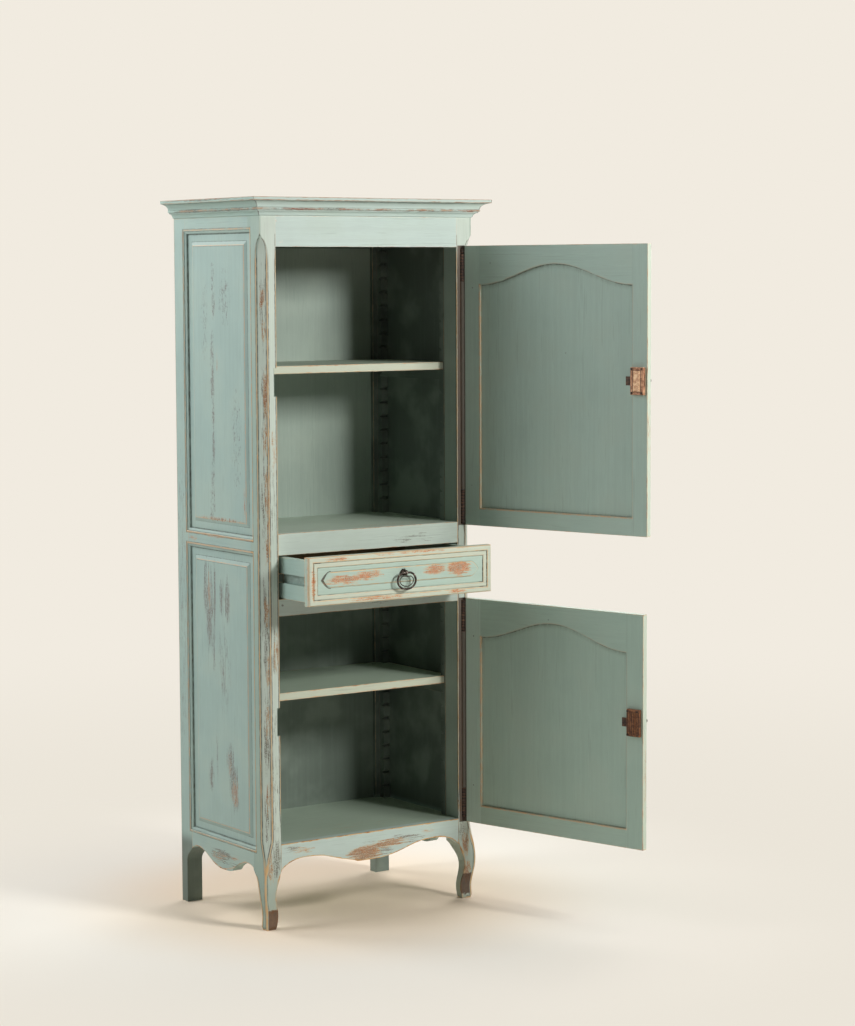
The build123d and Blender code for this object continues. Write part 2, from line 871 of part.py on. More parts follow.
def door_frame(door, t, z, rise, hinges, lock_z):
    s = door_faces()
    right_of_nose = 14.0
    panel_room = arched_slab(t, z, rise, 0, (s[0] - 1, s[1] + 1))
    groove = arched_slab(t, z, rise, door_groove + panel_gap, tongue_depths())
    sticking = door_sticking_cut(t, z, rise)
    top_tenon = (z[1] + door_groove + 4, door[1] - 8)
    low_tenon = (door[0] + 8, z[0] - door_groove - 4)
    tenons = []
    for height in (top_tenon, low_tenon):
        tenons.append(leaf_block((t[0] - door_tenon, t[0]), tongue_depths(), height))
        tenons.append(leaf_block((t[1], t[1] + door_tenon), tongue_depths(), height))

    hinge_stile = leaf_block((right_of_nose, t[0]), s, door) + stile_nose(door)
    for hinge in hinges:
        low = hinge[0] - (finial_length + 1 if hinge[2] == "foot" else 1)
        high = hinge[1] + (finial_length + 1 if hinge[2] == "top" else 1)
        low = door[0] - 1 if low < door[0] + 6 else low
        high = door[1] + 1 if high > door[1] - 6 else high
        hinge_stile = hinge_stile - rod(barrel_radius + barrel_relief, (0, 0, low), (0, 0, high))
        hinge_stile = hinge_stile - leaf_block((-9, 3.2), (-9, s[1] + 1), (low, high))
        hinge_stile = hinge_stile - door_hinge_leaf(hinge)
    lock_stile = rounded_outside(leaf_block((t[1], door_width), s, door), door)
    bore = spindle_radius + spindle_gap
    lock_stile = lock_stile - rod(bore, (-spindle_at, 0, lock_z), (-spindle_at, -s[1] - 1, lock_z))
    for start, end in lock_screw_lines(lock_z):
        lock_stile = lock_stile - rod(screw_shank + 0.15, start, end)
    top_rail = leaf_block(t, s, (z[1] - 1, door[1])) - panel_room
    bottom_rail = leaf_block(t, s, (door[0], z[0]))
    for tenon in tenons:
        hinge_stile = hinge_stile - tenon
        lock_stile = lock_stile - tenon
    top_rail = top_rail + tenons[0] + tenons[1]
    bottom_rail = bottom_rail + tenons[2] + tenons[3]
    members = (hinge_stile, lock_stile, top_rail, bottom_rail)
    return [member - groove - sticking for member in members]


def door_panel(t, z, rise):
    s = tongue_depths()
    tongue = arched_slab(t, z, rise, door_groove, s)
    low = Pos(0, -s[1], 0) * ring_of(arched_lines(t, z, rise, -14))
    high = Pos(0, -s[1] - door_field_height, 0) * ring_of(arched_lines(t, z, rise, -24))
    return tongue + loft([low, high], ruled=True)


def door_hinges(hinges):
    halves = []
    for hinge in hinges:
        middle = hinge_split(hinge) + knuckle_gap / 2
        half = rod(barrel_radius, (0, 0, middle), (0, 0, hinge[1]))
        half = half + door_hinge_leaf(hinge)
        half = half - rod(pin_radius + pin_gap, (0, 0, middle - 1), (0, 0, hinge[1] - 7))
        if hinge[2] == "top":
            half = half + finial(hinge[1], True)
        halves.append(half)
    return Compound([solid for half in halves for solid in half.solids()])


# ======== locks ========
def bolt_depths():
    middle = door_stand_off - lock_depth / 2
    return (middle - bolt_plate / 2, middle + bolt_plate / 2)


def lock_screw_places(lock_z):
    inset = 4.5
    high = lock_height / 2 - inset
    return [(t, lock_z + side * high) for t in (lock_case[0] + inset, lock_case[1] - inset)
            for side in (-1, 1)]


def lock_screw_lines(lock_z):
    inner = door_stand_off - lock_depth
    tip = tongue_depths()[0] - 0.4
    return [((-t, -inner, z), (-t, -tip, z)) for t, z in lock_screw_places(lock_z)]


def make_lock_case(lock_z, corner):
    inner = door_stand_off - lock_depth
    half = lock_height / 2
    shell = leaf_block(lock_case, (inner, door_stand_off), (lock_z - half, lock_z + half))
    outside = shell.edges().filter_by_position(Axis.Y, -inner - 0.1, -inner + 0.1)
    shell = fillet(outside, corner)
    room = (lock_case[0] + lock_wall, lock_case[1] - lock_wall)
    depth = (inner + lock_wall, door_stand_off)
    half = half - lock_wall
    for at in lock_screw_places(lock_z):
        shell = shell + leaf_block((at[0] - 3, at[0] + 3), depth, (at[1] - 3, at[1] + 3))
    hollow = leaf_block(room, depth, (lock_z - half, lock_z + half))
    for at in lock_screw_places(lock_z):
        hollow = hollow - leaf_block((at[0] - 4, at[0] + 4), depth, (at[1] - 4, at[1] + 4))
    shell = shell - hollow
    strip_t = (lock_case[0] + 12, lock_case[1] - 12)
    shell = shell + leaf_block(strip_t, (inner - lock_face_rise, inner + 0.5), (lock_z - 25, lock_z + 25))
    half = bolt_height / 2 + bolt_gap
    s = bolt_depths()
    slot = (s[0] - bolt_gap, s[1] + bolt_gap)
    shell = shell - leaf_block((lock_case[0] - 1, lock_case[1] + 1), slot, (lock_z - half, lock_z + half))
    for start, end in lock_screw_lines(lock_z):
        shell = shell - rod(screw_shank + 0.3, (start[0], start[1] + 3, start[2]), end)
    return shell


def make_lock_screws(lock_z):
    inner = -(door_stand_off - lock_depth)
    screws = []
    for start, end in lock_screw_lines(lock_z):
        head = rod(screw_head, (start[0], inner + lock_face_rise, start[2]), (start[0], inner, start[2]))
        slot = block((start[0] - 0.4, start[0] + 0.4), (inner + 0.6, inner + 2), (start[2] - 4, start[2] + 4))
        tip = (end[0], end[1] + 0.5, end[2])
        screws.append(head - slot + rod(screw_shank, start, tip))
    return Compound([solid for screw in screws for solid in screw.solids()])


# the bolt is drawn back; its window clears the spindle and its notch takes the finger's tip
def make_bolt(lock_z):
    t = (lock_case[0] - bolt_tail, lock_case[1])
    s = bolt_depths()
    half = bolt_height / 2
    bolt = leaf_block(t, s, (lock_z - half, lock_z + half))
    middle = spindle_at - bolt_throw / 2
    low = lock_z - bolt_throw / 2 - 0.2
    edge = lock_z + bolt_throw / 2
    bolt = bolt - leaf_block((middle - 7.8, middle + 7.8), s, (low, edge))
    return bolt - leaf_block((middle - 2.3, middle + 2.3), s, (edge - 1, lock_z + 7.2))


# spindle with an inside finger for the bolt and an outside ball to turn it by
def make_turn_knob(lock_z):
    s = bolt_depths()
    x = -spindle_at
    outer = door_faces()[1]
    inner_end = s[0] - 0.6
    ball = 5.6
    ball_at = outer + 23.0
    knob = rod(spindle_radius, (x, -inner_end, lock_z), (x, -ball_at, lock_z))
    knob = knob + rod(3.2, (x, -s[0] - 0.2, lock_z), (x, -s[1] + 0.2, lock_z))
    knob = knob + Pos(x, -ball_at, lock_z) * Sphere(ball)
    knob = knob + rod(4.2, (x, -outer - 2.2, lock_z), (x, -outer - 5.2, lock_z))
    tip = Vector(bolt_throw / 2, 0, bolt_throw / 2)
    plate = (-s[0] - 0.2, -s[1] + 0.2)
    end = rod(finger_radius, (x + tip.X, plate[0], lock_z + tip.Z), (x + tip.X, plate[1], lock_z + tip.Z))
    bar = Box(finger_reach, plate[0] - plate[1], 2 * finger_radius, align=(Align.MIN, Align.CENTER, Align.CENTER))
    bar = Pos(x, (plate[0] + plate[1]) / 2, lock_z) * Rot(0, -45, 0) * bar
    return knob + end + bar


def make_escutcheon(lock_z):
    outer = door_faces()[1]
    x = -spindle_at
    disc = rod(11.0, (x, -outer, lock_z), (x, -outer - 1.6, lock_z))
    rim = disc.edges().filter_by(GeomType.CIRCLE).sort_by(Axis.Y)[0]
    disc = chamfer(rim, 0.9)
    return disc - rod(spindle_radius + 0.5, (x, 0, lock_z), (x, -outer - 3, lock_z))


def make_door(name, door, lock_z, angle, lock_corner):
    which = 0 if name == "upper" else 1
    t = (hinge_stile_widths[which], door_width - lock_stile_widths[which])
    z = (door[0] + bottom_rail_widths[which], door[1] - top_rail_widths[which])
    rise = arch_rises[which]
    hinges = hinge_heights()[name]
    frame = door_frame(door, t, z, rise, hinges, lock_z)
    pieces = {
        "hinge_stile": frame[0],
        "lock_stile": frame[1],
        "top_rail": frame[2],
        "bottom_rail": frame[3],
        "panel": door_panel(t, z, rise),
        "hinges": door_hinges(hinges),
        "lock_case": make_lock_case(lock_z, lock_corner),
        "lock_screws": make_lock_screws(lock_z),
        "bolt": make_bolt(lock_z),
        "turn_knob": make_turn_knob(lock_z),
        "escutcheon": make_escutcheon(lock_z),
    }
    place = Pos(hinge_x, front, 0) * Rot(0, 0, angle)
    return {name + "_door_" + key: place * shape for key, shape in pieces.items()}


# ======== drawer, built shut and then drawn forward ========
def frame_groove(half, z, inset):
    outer = (half - inset, z[0] + inset, z[1] - inset)
    inner = (outer[0] - scratch_width, outer[1] + scratch_width, outer[2] - scratch_width)
    face = front - drawer_front_thickness
    y = (face, face + scratch_depth)
    ring = block((-outer[0], outer[0]), y, outer[1:])
    return ring - block((-inner[0], inner[0]), y, inner[1:])


# a long field with pointed round ends, scratched round its edge
def lozenge(shrink, y):
    half = lozenge_height / 2 - shrink
    middle = (drawer_front_z[0] + drawer_front_z[1]) / 2 + 2.2
    x = lozenge_half - shrink
    tip = lozenge_tip - 1.5 * shrink
    waist = (x + 15.0, 0.5 * half)
    lines = [
        front_line((-x, middle + half), (x, middle + half)),
        bracket_end((x, middle + half), (waist[0], middle + waist[1]), (tip, middle)),
        bracket_end((tip, middle), (waist[0], middle - waist[1]), (x, middle - half)),
        front_line((x, middle - half), (-x, middle - half)),
        bracket_end((-x, middle - half), (-waist[0], middle - waist[1]), (-tip, middle)),
        bracket_end((-tip, middle), (-waist[0], middle + waist[1]), (-x, middle + half)),
    ]
    return from_front(lines, y)


def bracket_end(*points):
    return ThreePointArc(*[(x, 0, z) for x, z in points])


def make_drawer_front():
    face = front - drawer_front_thickness
    x = drawer_front_half
    board = block((-x, x), (face, front), drawer_front_z)
    rim = board.edges().filter_by_position(Axis.Y, face - 0.1, face + 0.1)
    board = fillet(rim, 6.0)
    board = board - frame_groove(x, drawer_front_z, thumb_inset)
    board = board - frame_groove(x, drawer_front_z, bead_inset)
    y = (face, face + scratch_depth)
    board = board - (lozenge(0, y) - lozenge(scratch_width, y))
    for side in drawer_side_blanks():
        board = board - side
    board = board - drawer_floor(panel_gap)
    return board - rod(pull_shank + 0.3, (pull_x, face, pull_z), (pull_x, front, pull_z))


def drawer_side_blanks():
    side = block((drawer_half - drawer_side, drawer_half),
                 (front - drawer_lap, front + drawer_length), drawer_side_z)
    return side, other_side(side)


def drawer_floor(grow):
    edge = drawer_half - drawer_side / 2 + grow
    y = (front - drawer_lap / 2 - grow, front + drawer_length)
    return block((-edge, edge), y, drawer_bottom_z)


def make_drawer_sides():
    groove = block((drawer_half - runner_groove, drawer_half),
                   (front, front + drawer_length), runner_groove_z)
    side = drawer_side_blanks()[0] - groove - drawer_floor(panel_gap)
    return both_sides(side)


def make_drawer_back():
    half = drawer_half - drawer_side
    y = (front + drawer_length - 12, front + drawer_length)
    return block((-half, half), y, (drawer_bottom_z[1], drawer_side_z[1] - 6))


def make_pull_post():
    face = front - drawer_front_thickness
    eye_y = face - pull_reach
    rose = rod(9.0, (pull_x, face, pull_z), (pull_x, face - 2.4, pull_z))
    rose = chamfer(rose.edges().filter_by(GeomType.CIRCLE).sort_by(Axis.Y)[0], 1.4)
    stem = rod(3.4, (pull_x, face, pull_z), (pull_x, eye_y, pull_z))
    shank = rod(pull_shank, (pull_x, face, pull_z), (pull_x, front + 1.5, pull_z))
    nut = rod(5.5, (pull_x, front, pull_z), (pull_x, front + 3.5, pull_z))
    eye = rod(eye_radius, (pull_x - eye_half, eye_y, pull_z), (pull_x + eye_half, eye_y, pull_z))
    bore = rod(ring_rod + ring_gap, (pull_x - 9, eye_y, pull_z), (pull_x + 9, eye_y, pull_z))
    return rose + stem + shank + nut + eye - bore


# a flattened ring: straight through the eye, round at the shoulders, oval below
def make_pull_ring():
    y = front - drawer_front_thickness - pull_reach
    shoulder = ring_half - ring_straight
    lower = EllipticalCenterArc((0, -shoulder), ring_half, ring_drop - shoulder,
                                start_angle=270, arc_size=90)
    upper = CenterArc((ring_straight, -shoulder), shoulder, 0, 90)
    path = Plane.XZ * Wire([lower.edge(), upper.edge()])
    half = sweep(Plane(origin=path @ 0, z_dir=path % 0) * Circle(ring_rod), path=path)
    top = rod(ring_rod, (-ring_straight, 0, 0), (ring_straight, 0, 0))
    return Pos(pull_x, y, pull_z) * (half + other_side(half) + top)


def make_drawer():
    pieces = {
        "drawer_front": make_drawer_front(),
        "drawer_sides": make_drawer_sides(),
        "drawer_back": make_drawer_back(),
        "drawer_bottom": drawer_floor(0),
        "drawer_pull_post": make_pull_post(),
        "drawer_pull_ring": make_pull_ring(),
    }
    return {name: Pos(0, -drawer_pull_out, 0) * shape for name, shape in pieces.items()}


# ======== put together ========
def make_carcass():
    post_left, post_right = make_front_posts()
    rear_post = make_rear_post()
    frieze, middle, drawer = make_front_rails()
    side_top, side_mid = make_side_rails()
    lower_panel, upper_panel = [make_side_panel(z) for z in side_openings()]
    lower_back, upper_back = [make_back_panel(z) for z in back_panel_heights()]
    cornice = make_cornice()
    return {
        "front_post_left": post_left,
        "front_post_right": post_right,
        "rear_post_left": other_side(rear_post),
        "rear_post_right": rear_post,
        "frieze_rail": frieze,
        "mid_rail": middle,
        "drawer_rail": drawer,
        "front_apron": make_front_apron(),
        "side_top_rails": both_sides(side_top),
        "side_mid_rails": both_sides(side_mid),
        "side_aprons": both_sides(make_side_apron()),
        "lower_panel_left": other_side(lower_panel),
        "lower_panel_right": lower_panel,
        "upper_panel_left": other_side(upper_panel),
        "upper_panel_right": upper_panel,
        "back_rails": make_back_rails(),
        "lower_back_panel": lower_back,
        "upper_back_panel": upper_back,
        "lower_floor": fitted_board((apron_top - board_thickness, apron_top)),
        "upper_floor": fitted_board((mid_rail[1] - board_thickness, mid_rail[1])),
        "dust_board": fitted_board(dust_board),
        "top_board": make_top_board(),
        "cornice_front": cornice[0],
        "cornice_left": cornice[1],
        "cornice_right": cornice[2],
        "drawer_runners": make_drawer_runners(),
        "shelf_racks": make_shelf_racks(),
        "shelf_bearers": make_shelf_bearers(),
        "post_hinges": make_post_hinges(),
        "lower_shelf": make_shelf(shelf_bottoms[0]),
        "upper_shelf": make_shelf(shelf_bottoms[1]),
    }


parts = make_carcass()
parts.update(make_door("upper", upper_door, upper_lock_z, upper_open_angle, 1.2))
parts.update(make_door("lower", lower_door, lower_lock_z, lower_open_angle, 3.0))
parts.update(make_drawer())

for name, shape in parts.items():
    export_step(shape, "parts/" + name + ".step")
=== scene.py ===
import math

import bpy
import numpy as np
from mathutils import Matrix, Vector


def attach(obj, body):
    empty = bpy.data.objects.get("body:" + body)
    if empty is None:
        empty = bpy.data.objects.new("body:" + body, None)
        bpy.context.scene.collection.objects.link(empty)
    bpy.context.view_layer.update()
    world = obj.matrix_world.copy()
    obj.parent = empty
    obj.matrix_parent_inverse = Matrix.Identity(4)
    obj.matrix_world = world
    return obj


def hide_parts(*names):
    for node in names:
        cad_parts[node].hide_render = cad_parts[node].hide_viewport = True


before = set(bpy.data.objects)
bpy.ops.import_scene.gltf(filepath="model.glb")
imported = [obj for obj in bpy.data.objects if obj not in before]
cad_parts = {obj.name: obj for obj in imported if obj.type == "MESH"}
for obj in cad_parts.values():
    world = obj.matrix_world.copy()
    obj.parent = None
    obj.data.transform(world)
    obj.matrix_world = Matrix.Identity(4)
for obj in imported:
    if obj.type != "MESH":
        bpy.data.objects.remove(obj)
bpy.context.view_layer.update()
scene = bpy.context.scene
nodes = dict(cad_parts)
print("frame loaded:", len(nodes), "pieces")

# lengths in the dictionaries and inside the materials are millimetres
mm = 0.001
cabinet = {
    "halfWidth": 313.5,
    "doorFaces": (-18.5, -0.5),
    "front": -208.5,
    "hinge": (286.0, -208.5),
    "upperAngle": 106.3,
    "lowerAngle": 104.8,
}


# sRGB numbers from 0 to 255 turned into the linear colour that a socket wants
def tint(red, green, blue):
    part = np.array([red, green, blue]) / 255.0
    part = np.where(part <= 0.04045, part / 12.92, ((part + 0.055) / 1.055) ** 2.4)
    return (float(part[0]), float(part[1]), float(part[2]), 1.0)


finish = {
    "paint": tint(162, 188, 179),
    "sidePaint": tint(156, 179, 173),
    # front-facing pieces are painted paler than the sides: partly faded paint, partly painted light from the front
    "frontPaint": tint(188, 205, 199),
    "boardPaint": tint(170, 187, 170),
    # back panels: painted shade, deeper in the lower compartment
    "upperBackPaint": tint(153, 169, 158),
    "lowerBackPaint": tint(106, 119, 109),
    # the upper doors are painted a little paler than the lower: painted light
    "doorPaint": tint(168, 192, 179),
    "upperDoorPaint": tint(175, 198, 187),
    # inside faces, racks, bearers and runners: painted shade of the interior
    "shadePaint": tint(85, 96, 88),
    # inner faces of the front posts and walls of the lock pockets: painted shade
    "postShade": tint(150, 166, 156),
    "creamPaint": tint(216, 212, 190),
    "undercoat": tint(204, 172, 134),
    "sideUndercoat": tint(196, 174, 146),
    "wood": tint(150, 98, 66),
    "orangeWood": tint(186, 106, 54),
    "darkWood": tint(72, 54, 42),
    "stain": tint(104, 84, 82),
    "bareWood": tint(150, 119, 86),
    "pit": tint(24, 19, 17),
    "bloom": tint(168, 182, 168),
    "thinPaint": tint(118, 130, 122),
    "dirt": tint(72, 66, 56),
    "darkStain": tint(84, 68, 52),
}


# ---- small wiring helpers ----
def operation(kind, swapped=False):
    def apply(number, other):
        pair = (other, number) if swapped else (number, other)
        return number.wires.math(kind, *pair)
    return apply


# a number in a material: arithmetic with it adds the nodes that work it out
class Number:
    __add__, __radd__ = operation("ADD"), operation("ADD", True)
    __sub__, __rsub__ = operation("SUBTRACT"), operation("SUBTRACT", True)
    __mul__, __rmul__ = operation("MULTIPLY"), operation("MULTIPLY", True)
    __truediv__, __pow__ = operation("DIVIDE"), operation("POWER")

    def __init__(self, wires, socket):
        self.wires, self.socket = wires, socket

    def __abs__(self):
        return self.wires.math("ABSOLUTE", self)

    def __neg__(self):
        return self * -1.0


class Wires:
    def __init__(self, tree):
        self.tree = tree

    def node(self, kind, **settings):
        made = self.tree.nodes.new(kind)
        for name, value in settings.items():
            setattr(made, name, value)
        return made

    def feed(self, socket, value):
        if isinstance(value, Number):
            value = value.socket
        if isinstance(value, bpy.types.NodeSocket):
            self.tree.links.new(value, socket)
        else:
            socket.default_value = value

    # a node with its inputs fed in order; gives one of its outputs
    def run(self, kind, values, output=0, **settings):
        made = self.node(kind, **settings)
        for socket, value in zip(made.inputs, values):
            self.feed(socket, value)
        return Number(self, made.outputs[output])

    def math(self, operation, *values, clamp=False):
        return self.run("ShaderNodeMath", values, operation=operation, use_clamp=clamp)

    def vector(self, operation, *values):
        output = "Value" if operation in ("LENGTH", "DOT_PRODUCT") else "Vector"
        return self.run("ShaderNodeVectorMath", values, output, operation=operation)

    def join(self, x, y, z):
        return self.run("ShaderNodeCombineXYZ", (x, y, z))

    def split(self, vector):
        made = self.node("ShaderNodeSeparateXYZ")
        self.feed(made.inputs[0], vector)
        return [Number(self, output) for output in made.outputs]

    def chain(self, operation, values):
        total = values[0]
        for value in values[1:]:
            total = self.math(operation, total, value)
        return total

    def most(self, *values):
        return self.chain("MAXIMUM", values)

    def least(self, *values):
        return self.chain("MINIMUM", values)

    # a product kept between 0 and 1
    def share(self, a, b):
        return self.math("MULTIPLY", a, b, clamp=True)

    # how far a point lies from a line, from its distances along two axes
    def far(self, a, b):
        return self.math("SQRT", a * a + b * b)

    # 0 at the first length and 1 at the second, with a smooth step between them
    def step(self, value, start, end):
        made = self.node("ShaderNodeMapRange", interpolation_type="SMOOTHSTEP")
        rising = start < end
        self.feed(made.inputs["Value"], value)
        made.inputs["From Min"].default_value = min(start, end)
        made.inputs["From Max"].default_value = max(start, end)
        made.inputs["To Min"].default_value = 0.0 if rising else 1.0
        made.inputs["To Max"].default_value = 1.0 if rising else 0.0
        return Number(self, made.outputs["Result"])

    # 1 between the second and the third length, fading to 0 at the first and the fourth
    def band(self, value, start, full, last, end):
        return self.step(value, start, full) * self.step(value, end, last)

    # 1 on a line at that place, fading to 0 at its half width
    def line(self, value, place, half):
        return self.step(abs(value - place), half, 0.45 * half)

    def noise(self, vector, size, detail=3.0, roughness=0.55, stretch=(1, 1, 1)):
        made = self.node("ShaderNodeTexNoise")
        if stretch != (1, 1, 1):
            vector = self.vector("MULTIPLY", vector, stretch)
        for name, value in (("Vector", vector), ("Scale", 1.0 / size), ("Detail", detail), ("Roughness", roughness)):
            self.feed(made.inputs[name], value)
        return Number(self, made.outputs[0])

    # the same noise with its contrast raised, so that it runs from 0 to 1
    def patchy(self, *settings):
        return self.math("MULTIPLY_ADD", self.noise(*settings), 3.0, -1.0, clamp=True)

    def mix(self, share, a, b, kind="MIX"):
        made = self.node("ShaderNodeMix", data_type="RGBA", blend_type=kind)
        for number, value in ((0, share), (6, a), (7, b)):
            self.feed(made.inputs[number], value)
        return Number(self, made.outputs[2])

    def shade(self, colour, tone):
        return self.mix(1.0, colour, self.join(tone, tone, tone), "MULTIPLY")

    # a curve given by points, read at a length; their heights lie between floor and ceiling
    def curve(self, value, points, floor, ceiling):
        made = self.node("ShaderNodeFloatCurve")
        curve = made.mapping.curves[0]
        low, high = points[0][0], points[-1][0]
        spots = [((x - low) / (high - low), (y - floor) / (ceiling - floor)) for x, y in points]
        while len(curve.points) < len(spots):
            curve.points.new(0.5, 0.5)
        for point, spot in zip(curve.points, spots):
            point.location = spot
        made.mapping.update()
        self.feed(made.inputs["Value"], (self.least(self.most(value, low), high) - low) / (high - low))
        return self.math("MULTIPLY_ADD", made.outputs[0], ceiling - floor, floor)

    def use(self, group, **values):
        made = self.node("ShaderNodeGroup", node_tree=group)
        for name, value in values.items():
            self.feed(made.inputs[name], value)
        return {output.name: Number(self, output) for output in made.outputs}


# ---- effects that several finishes share ----
# inputs by kind, of which only the colours need a start value; build(w, given) returns the outputs by name
def newGroup(name, build, vectors="", numbers="", colours=()):
    group = bpy.data.node_groups.new(name, "ShaderNodeTree")

    def addSocket(title, way, kind):
        return group.interface.new_socket(name=title, in_out=way, socket_type="NodeSocket" + kind)

    for titles, kind in ((vectors, "Vector"), (numbers, "Float")):
        for title in titles.split():
            addSocket(title, "INPUT", kind)
    for title, start in dict(colours).items():
        addSocket(title, "INPUT", "Color").default_value = start
    w = Wires(group)
    made = build(w, {output.name: Number(w, output) for output in w.node("NodeGroupInput").outputs})
    for title in made:
        addSocket(title, "OUTPUT", "Color" if title == "Colour" else "Float")
    target = w.node("NodeGroupOutput").inputs
    for title, value in made.items():
        w.feed(target[title], value)
    return group


# distance to the nearest arris of a box: the second smallest of its three wall distances
def buildBoxArris(w, given):
    away = w.vector("SUBTRACT", given["Vector"], given["Centre"])
    x, y, z = w.split(w.vector("SUBTRACT", given["Half"], w.vector("ABSOLUTE", away)))
    return {"Edge": w.most(w.least(x, y), w.least(w.most(x, y), z), 0)}


# how far a point lies outside a rectangle in two of its coordinates, minus inside
def buildFrameLine(w, given):
    centreX, centreY, _ = w.split(given["Centre"])
    halfX, halfY, _ = w.split(given["Half"])
    return {"Outside": w.most(abs(given["Across"] - centreX) - halfX, abs(given["Up"] - centreY) - halfY)}


# the same for a panel whose top is a serpentine: shoulder + rise (1 - cos 2 pi u) / 2
def buildArchLine(w, given):
    across, up, left, right, low, shoulder, rise = (
        given[name] for name in ("Across", "Up", "Left", "Right", "Low", "Shoulder", "Rise"))
    share = w.least(w.most((across - left) / (right - left), 0), 1)
    top = shoulder + rise * (0.5 - w.math("COSINE", share * (2 * math.pi)) * 0.5)
    return {"Outside": w.most(w.most(left - across, across - right), w.most(low - up, up - top))}


# a soft spot: 1 in the middle of an ellipsoid and 0 at its skin
def buildSpot(w, given):
    away = w.vector("SUBTRACT", given["Vector"], given["Centre"])
    away = w.vector("DIVIDE", away, given["Reach"])
    return {"Mask": w.most(1 - w.vector("DOT_PRODUCT", away, away), 0) * given["Strength"]}


# brushed paint over undercoat over wood; the grain of Vector runs along its Z
def buildAgedPaint(w, given):
    v, brushed, width, edgeWear, wear, stain, undercoat = (
        given[name] for name in ("Vector", "Brush", "EdgeWidth", "EdgeWear", "Wear", "Stain", "Undercoat"))
    fibre = w.patchy(v, 1.3, 3, 0.6, (1, 1, 0.04))
    grit = w.patchy(v, 1.5, 4, 0.7, (1, 1, 0.6))
    strand = w.patchy(v, 3.6, 3, 0.6, (1, 1, 0.045))
    brush = w.patchy(v, 9, 3, 0.6, (1, 1, 0.02))
    cloud = w.patchy(v, 120, 3, 0.5)
    chip = w.patchy(v, 8, 5, 0.65, (1, 1, 0.4))
    reach = w.patchy(v, 45, 2, 0.5)
    dab = w.patchy(v, 6, 4, 0.65, (1, 1, 0.55))

    tone = 1 + (brush - 0.5) * 0.085 * brushed + (cloud - 0.5) * 0.07 + (fibre - 0.5) * 0.05 * brushed
    colour = w.shade(given["Paint"], tone)
    colour = w.mix(w.step(cloud, 0.3, 1) * 0.25, colour, finish["bloom"])
    # paler towards cream: faded paint, and painted light on some lit faces and edges
    colour = w.mix(given["Fade"], colour, finish["creamPaint"])
    thin = w.step(brush * 0.6 + strand * 0.4, 0.66, 0.9) * 0.2 * brushed
    colour = w.mix(thin, colour, finish["thinPaint"])

    # creases are darkened: dirt, and painted shade in quirks, grooves and recesses
    crease = w.share(given["Crease"], 0.3 + chip * 0.8)
    colour = w.mix(crease * 0.9, colour, finish["dirt"])

    speckle = 0.15 + w.step(grit, 0.25, 0.6) * 0.85
    thread = strand + (dab - strand) * given["Dab"]
    streak = stain + (thread - 0.5) * 0.9 + (chip - 0.5) * 0.4 + (fibre - 0.5) * 0.9
    streak = w.step(streak, 0.46, 0.8) * w.step(stain, 0, 0.15) * speckle
    colour = w.mix(streak * 0.85, colour, given["StainColour"])

    # the arris is rubbed to the undercoat in a ragged line, and to the wood at its core
    ragged = (given["Edge"] + (chip - 0.5) * width * 0.9) / width
    shown = 0.45 + w.step(reach, 0.3, 0.7) * 0.65
    rim = w.share(w.step(ragged, 1, 0.5), shown * edgeWear)
    colour = w.mix(rim, colour, undercoat)
    core = w.step(ragged, 0.5, 0.1) * w.step(reach, 0.55, 0.85) * edgeWear
    colour = w.mix(w.share(core, 0.7), colour, given["Wood"])
    rubbed = w.share(given["Line"], 0.3 + w.step(chip, 0.1, 0.7) * 0.8)
    colour = w.mix(rubbed, colour, undercoat)

    # worn spots: fibres of undercoat round their skirts and of wood in their middle
    field = wear + (strand - 0.5) * 0.7 + (chip - 0.5) * 0.6 + (fibre - 0.5) * 0.6
    there = w.step(wear, 0, 0.2) * speckle
    first = w.step(field, 0.34, 0.56) * there
    second = w.step(field, 0.52, 0.86) * there
    colour = w.mix(first * 0.8, colour, undercoat)
    wood = w.shade(given["Wood"], 0.1 + fibre * 0.3 + chip * 0.4 + grit * 0.4 + dab * 0.7)
    colour = w.mix(second * 0.9, colour, wood)
    bare = w.shade(given["BareColour"], 0.4 + fibre * 0.4 + brush * 0.3 + grit * 0.1 + dab * 0.18)
    worn = w.most(rim, first, given["Bare"])
    height = brush * 0.12 * brushed + fibre * 0.14 - second * 0.5 - first * 0.3 - crease * 0.6 - rim * 0.35
    return {"Colour": w.mix(given["Bare"], colour, bare), "Roughness": 0.52 + brush * 0.08 + worn * 0.16,
            "Height": height}


# old metal: a brown skin of rust, darker grain and rubbed bright spots; Dark masks painted shadow
def buildOldMetal(w, given):
    grain = w.noise(given["Vector"], 1.6, 4, 0.65)
    blotch = w.noise(given["Vector"], 7, 3, 0.6)
    colour = w.mix(w.step(blotch + (grain - 0.5) * 0.7, 0.38, 0.62), given["Metal"], given["Skin"])
    colour = w.shade(colour, 0.7 + grain * 0.6)
    near = w.step(given["Edge"] + (blotch - 0.5) * 2, 1.1, 0.2)
    rub = w.share(w.most(near, w.step(blotch, 0.6, 0.72)), given["Rubbed"])
    colour = w.mix(rub, colour, given["Rub"])
    return {"Colour": w.mix(given["Dark"], colour, finish["pit"]), "Roughness": 0.42 + grain * 0.3 - rub * 0.12,
            "Metallic": w.math("MULTIPLY_ADD", rub, 0.35, 0.45), "Height": grain * 0.6 + blotch * 0.5}


